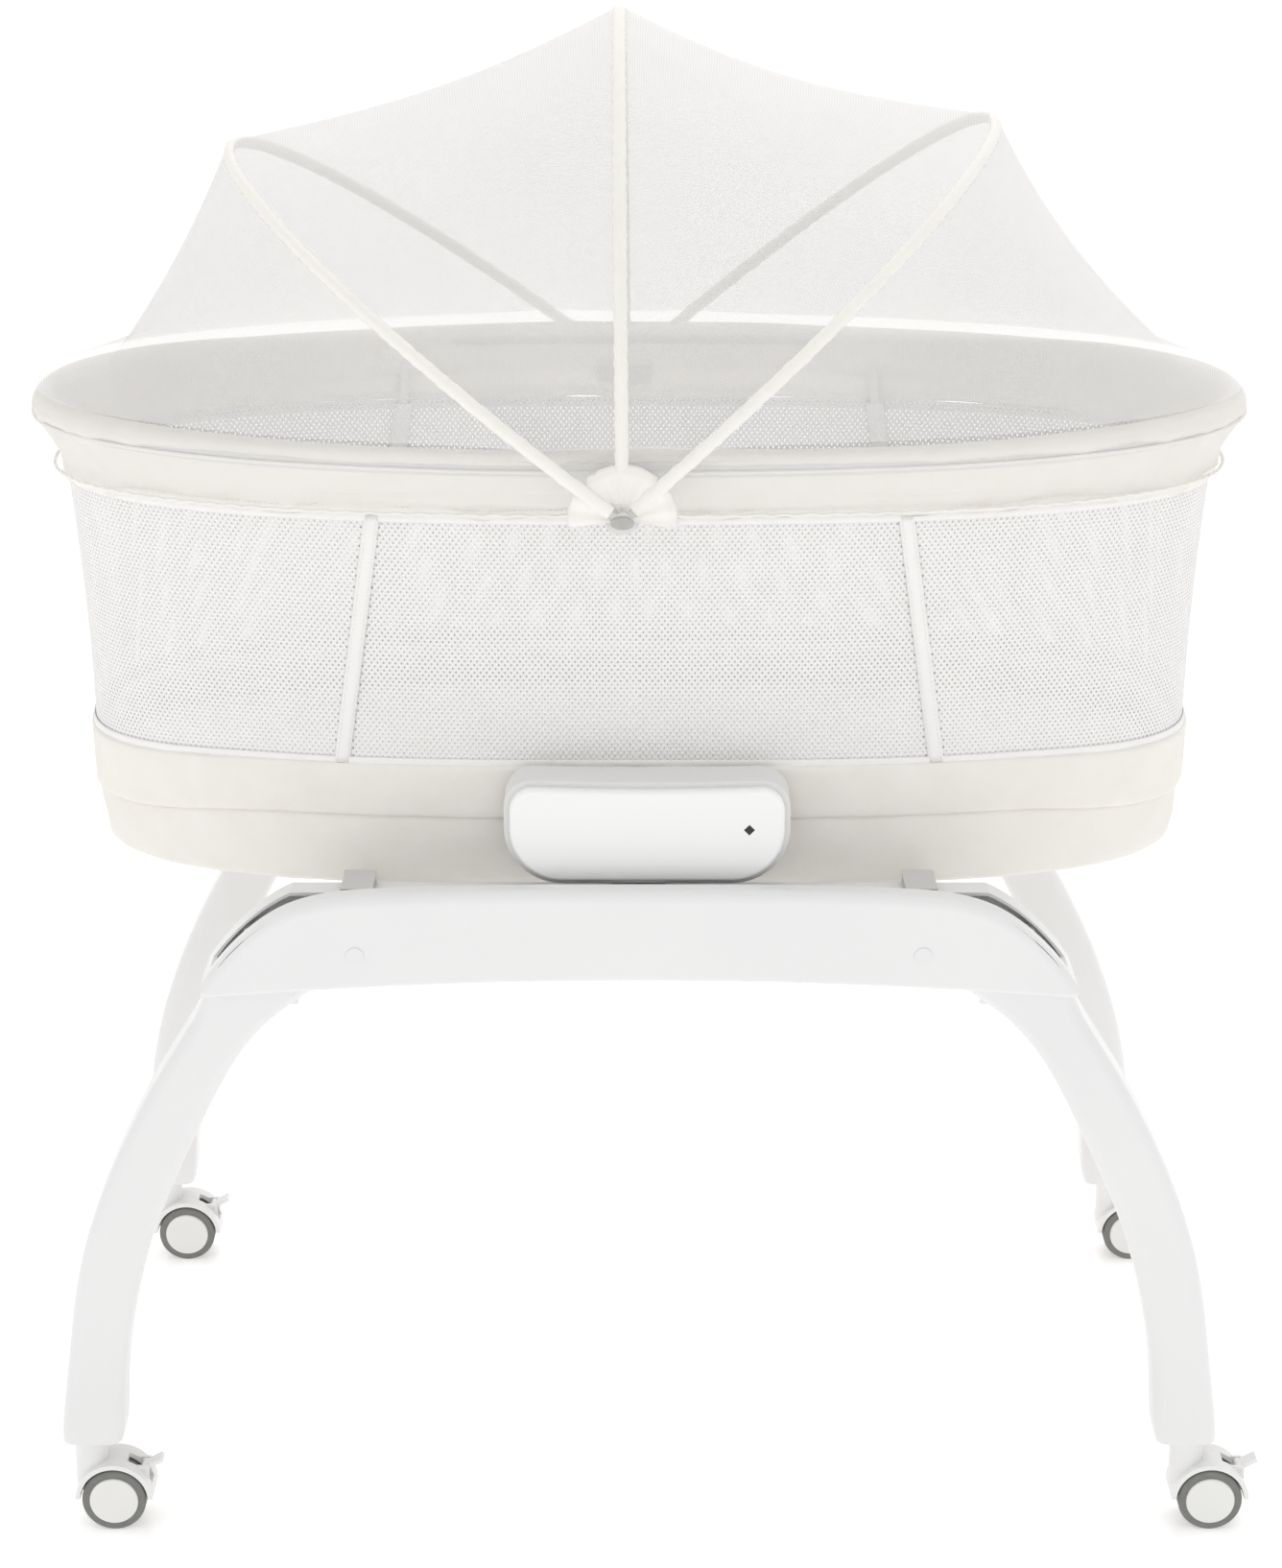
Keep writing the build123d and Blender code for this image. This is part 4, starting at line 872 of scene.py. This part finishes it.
def hem_line(side, turn):
    """The elastic hem, drawn in under the collar from the front hub round one end to the rear hub."""
    return over_collar(side, turn, HEM_STATION)


net = Finish("insect_netting", (0.88, 0.875, 0.872), 0.75)
net_cloth = net.cloth()
NET_PITCH = 0.0013
warp = (net_cloth.part(0) * (math.pi / NET_PITCH)).cos()
weft = (net_cloth.part(1) * (math.pi / NET_PITCH)).cos()
threads = warp * weft
net_noise = net.noise(net.place(), 12.0, 2.0)
net.colour(net.tint(net_noise, (0.86, 0.85, 0.846), (0.90, 0.892, 0.888)))
lying = net.place().part(2) * -1.0 > -(rim_top + 0.002)
cover = 0.54 - threads * threads * 0.16 + net_noise * 0.06
net.feed(net.shader.inputs["Alpha"], cover * (1.0 - lying * 0.55))
net.bump(threads, 0.0002, 0.5)

NET_ROWS, NET_COLUMNS = 132, 30


def saddle(near, far, sag, folds):
    """Netting between two lines, drawn in to a saddle, with slack folds near the rivets."""
    turn = np.linspace(0, math.pi, NET_ROWS + 1)
    share = np.linspace(0, 1, NET_COLUMNS + 1)[None, :, None]
    a, b = near(turn)[:, None, :], far(turn)[:, None, :]
    sheet = a + (b - a) * share
    inward = np.array([hub[0], 0.0, hub[2]]) - sheet
    inward[:, :, 1] *= 0.25
    inward /= np.maximum(np.linalg.norm(inward, axis=2, keepdims=True), 1e-6)
    rise = np.sin(turn)[:, None, None]
    bow = 4 * share * (1 - share)
    crease = 0.0011 * folds * np.sin(share * math.pi * 7 + rise * 3) * np.exp(-rise / 0.22) * np.sqrt(bow)
    return sheet + inward * (sag * bow * rise ** 0.6 + crease)


def spaced_out(sheet, count):
    """Each line of points again, evenly spaced along itself."""
    gap = np.linalg.norm(np.diff(sheet, axis=1), axis=2)
    along = np.cumsum(np.concatenate([np.zeros((len(gap), 1)), gap], axis=1), axis=1)
    even = np.linspace(0, 1, count)
    return np.array([[[np.interp(t * run[-1], run, points[:, k]) for k in range(3)] for t in even]
                     for run, points in zip(along, sheet)])


def end_gore(name, side, bow_line, sag, folds):
    """The netting of one end: up the collar from the hem, flat across the tip, then up to the bow."""
    turn = np.linspace(0, math.pi, NET_ROWS + 1)
    leave = brim_station(turn)[:, None]
    station = HEM_STATION + (leave - HEM_STATION) * np.linspace(0, 1, 14)[None, :]
    hugging = over_collar(side, turn[:, None], station)

    def fold_line(turn):
        line = over_collar(side, turn, brim_station(turn), TIP_CHORD[side])
        line[:, 2] += 0.010 * ease(np.sin(turn), 0.6, 1.0)
        return line

    rising = saddle(fold_line, bow_line, sag, folds)
    sheet = spaced_out(np.concatenate([hugging, rising[:, 1:]], axis=1), 56)
    return cloth_panel(name, sheet if side < 0 else sheet[:, ::-1], net)


OUT = 0.0032
left_arch = lambda turn: arch("bow_left", turn, OUT)
center_arch = lambda turn: arch("bow_center", turn, OUT)
right_arch = lambda turn: arch("bow_right", turn, OUT)
gores = {
    "net_gore_left": cloth_panel("net_gore_left", saddle(left_arch, center_arch, 0.013, 1.0), net),
    "net_gore_right": cloth_panel("net_gore_right", saddle(center_arch, right_arch, 0.016, 1.0), net),
    "net_end_left": end_gore("net_end_left", -1, left_arch, 0.006, 0.6),
    "net_end_right": end_gore("net_end_right", 1, right_arch, 0.012, 0.6),
}

cream_tape = woven("cream_sleeve", (0.93, 0.905, 0.86), (0.965, 0.95, 0.915), 0.0010, 1.6, sheen_weight=0.12)
SLEEVE = 0.0047


def sleeve(name, bow_name):
    """A cloth tube round a bow, a little flattened, puckered along its seam."""
    turn = np.linspace(0.028, math.pi - 0.028, 220)
    line = arch(bow_name, turn)
    lean = bow_shape(bow_name)[0]
    across = np.array([math.cos(lean), 0.0, -math.sin(lean)])
    ahead = np.gradient(line, axis=0)
    ahead /= np.linalg.norm(ahead, axis=1, keepdims=True)
    outward = np.cross(ahead, across)
    rows = []
    for k in range(14):
        angle = 2 * math.pi * k / 14
        wrinkle = 1 + 0.05 * np.sin(turn * 190 + 2 * angle) + 0.04 * np.sin(turn * 83 - angle)
        size = (SLEEVE * wrinkle)[:, None]
        rows.append(line + size * (1.08 * math.cos(angle) * across + 0.82 * math.sin(angle) * outward))
    return cloth_panel(name, np.array(rows)[::-1], cream_tape, closed=True)


bow_names = ("bow_left", "bow_center", "bow_right")
sleeves = {bow_name: sleeve(f"sleeve_{bow_name}", bow_name) for bow_name in bow_names}
hems = {}
for side, tag in ((-1, "left"), (1, "right")):
    line = hem_line(side, np.linspace(0.0, math.pi, 260))
    gather = 0.0006 * np.sin(np.arange(260) * 1.9)
    line = line + np.column_stack([np.zeros(260), np.zeros(260), gather])
    hems[tag] = corded(f"net_hem_{tag}", line, 0.0014, cream_tape, around=False, sides=8)

fans = []
for end, sy in (("front", -1), ("rear", 1)):
    rows = []
    for radius in np.linspace(0.004, 0.040, 16):
        spread = np.linspace(-math.radians(99), math.radians(99), 61)
        under_sleeve = 0.0025 * np.exp(-(spread / 0.35) ** 2)
        depth = 0.2795 - under_sleeve + 0.0015 * np.exp(-((spread + 0.92) / 0.3) ** 2)
        pleat = 0.0011 * np.sin(spread * 15) * (radius / 0.040)
        roll = -0.004 * ease(radius, 0.034, 0.040)
        rows.append(np.column_stack([hub[0] + radius * np.sin(spread), sy * (depth + pleat + roll),
                                     hub[2] + radius * np.cos(spread)]))
    grid = np.array(rows)
    grid = grid if sy < 0 else grid[:, ::-1]
    fans.append(cloth_panel(f"hub_fan_{end}", grid, cream_tape, thickness=0.0009))

rides = {"net_gore_left": "bow_left", "net_gore_right": "bow_center", "net_end_left": "bow_left"}
for name, body in rides.items():
    lean = bow_shape(body)[0]
    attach(gores[name], body)
    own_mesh(gores[name])
right_lean, right_reach, _ = bow_shape("bow_right")
right_tip = (hub[0] + right_reach * math.sin(right_lean), 0.0,
             hub[2] + right_reach * math.cos(right_lean))
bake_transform(gores["net_end_right"])
for bow_name, piece in sleeves.items():
    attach(piece, bow_name)
left_lean = bow_shape("bow_left")[0]
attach(hems["left"], "bow_left")
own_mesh(hems["left"])
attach(hems["right"], "cradle")
for piece in fans:
    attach(piece, "cradle")
for piece in gores.values():
    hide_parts("canopy_net")
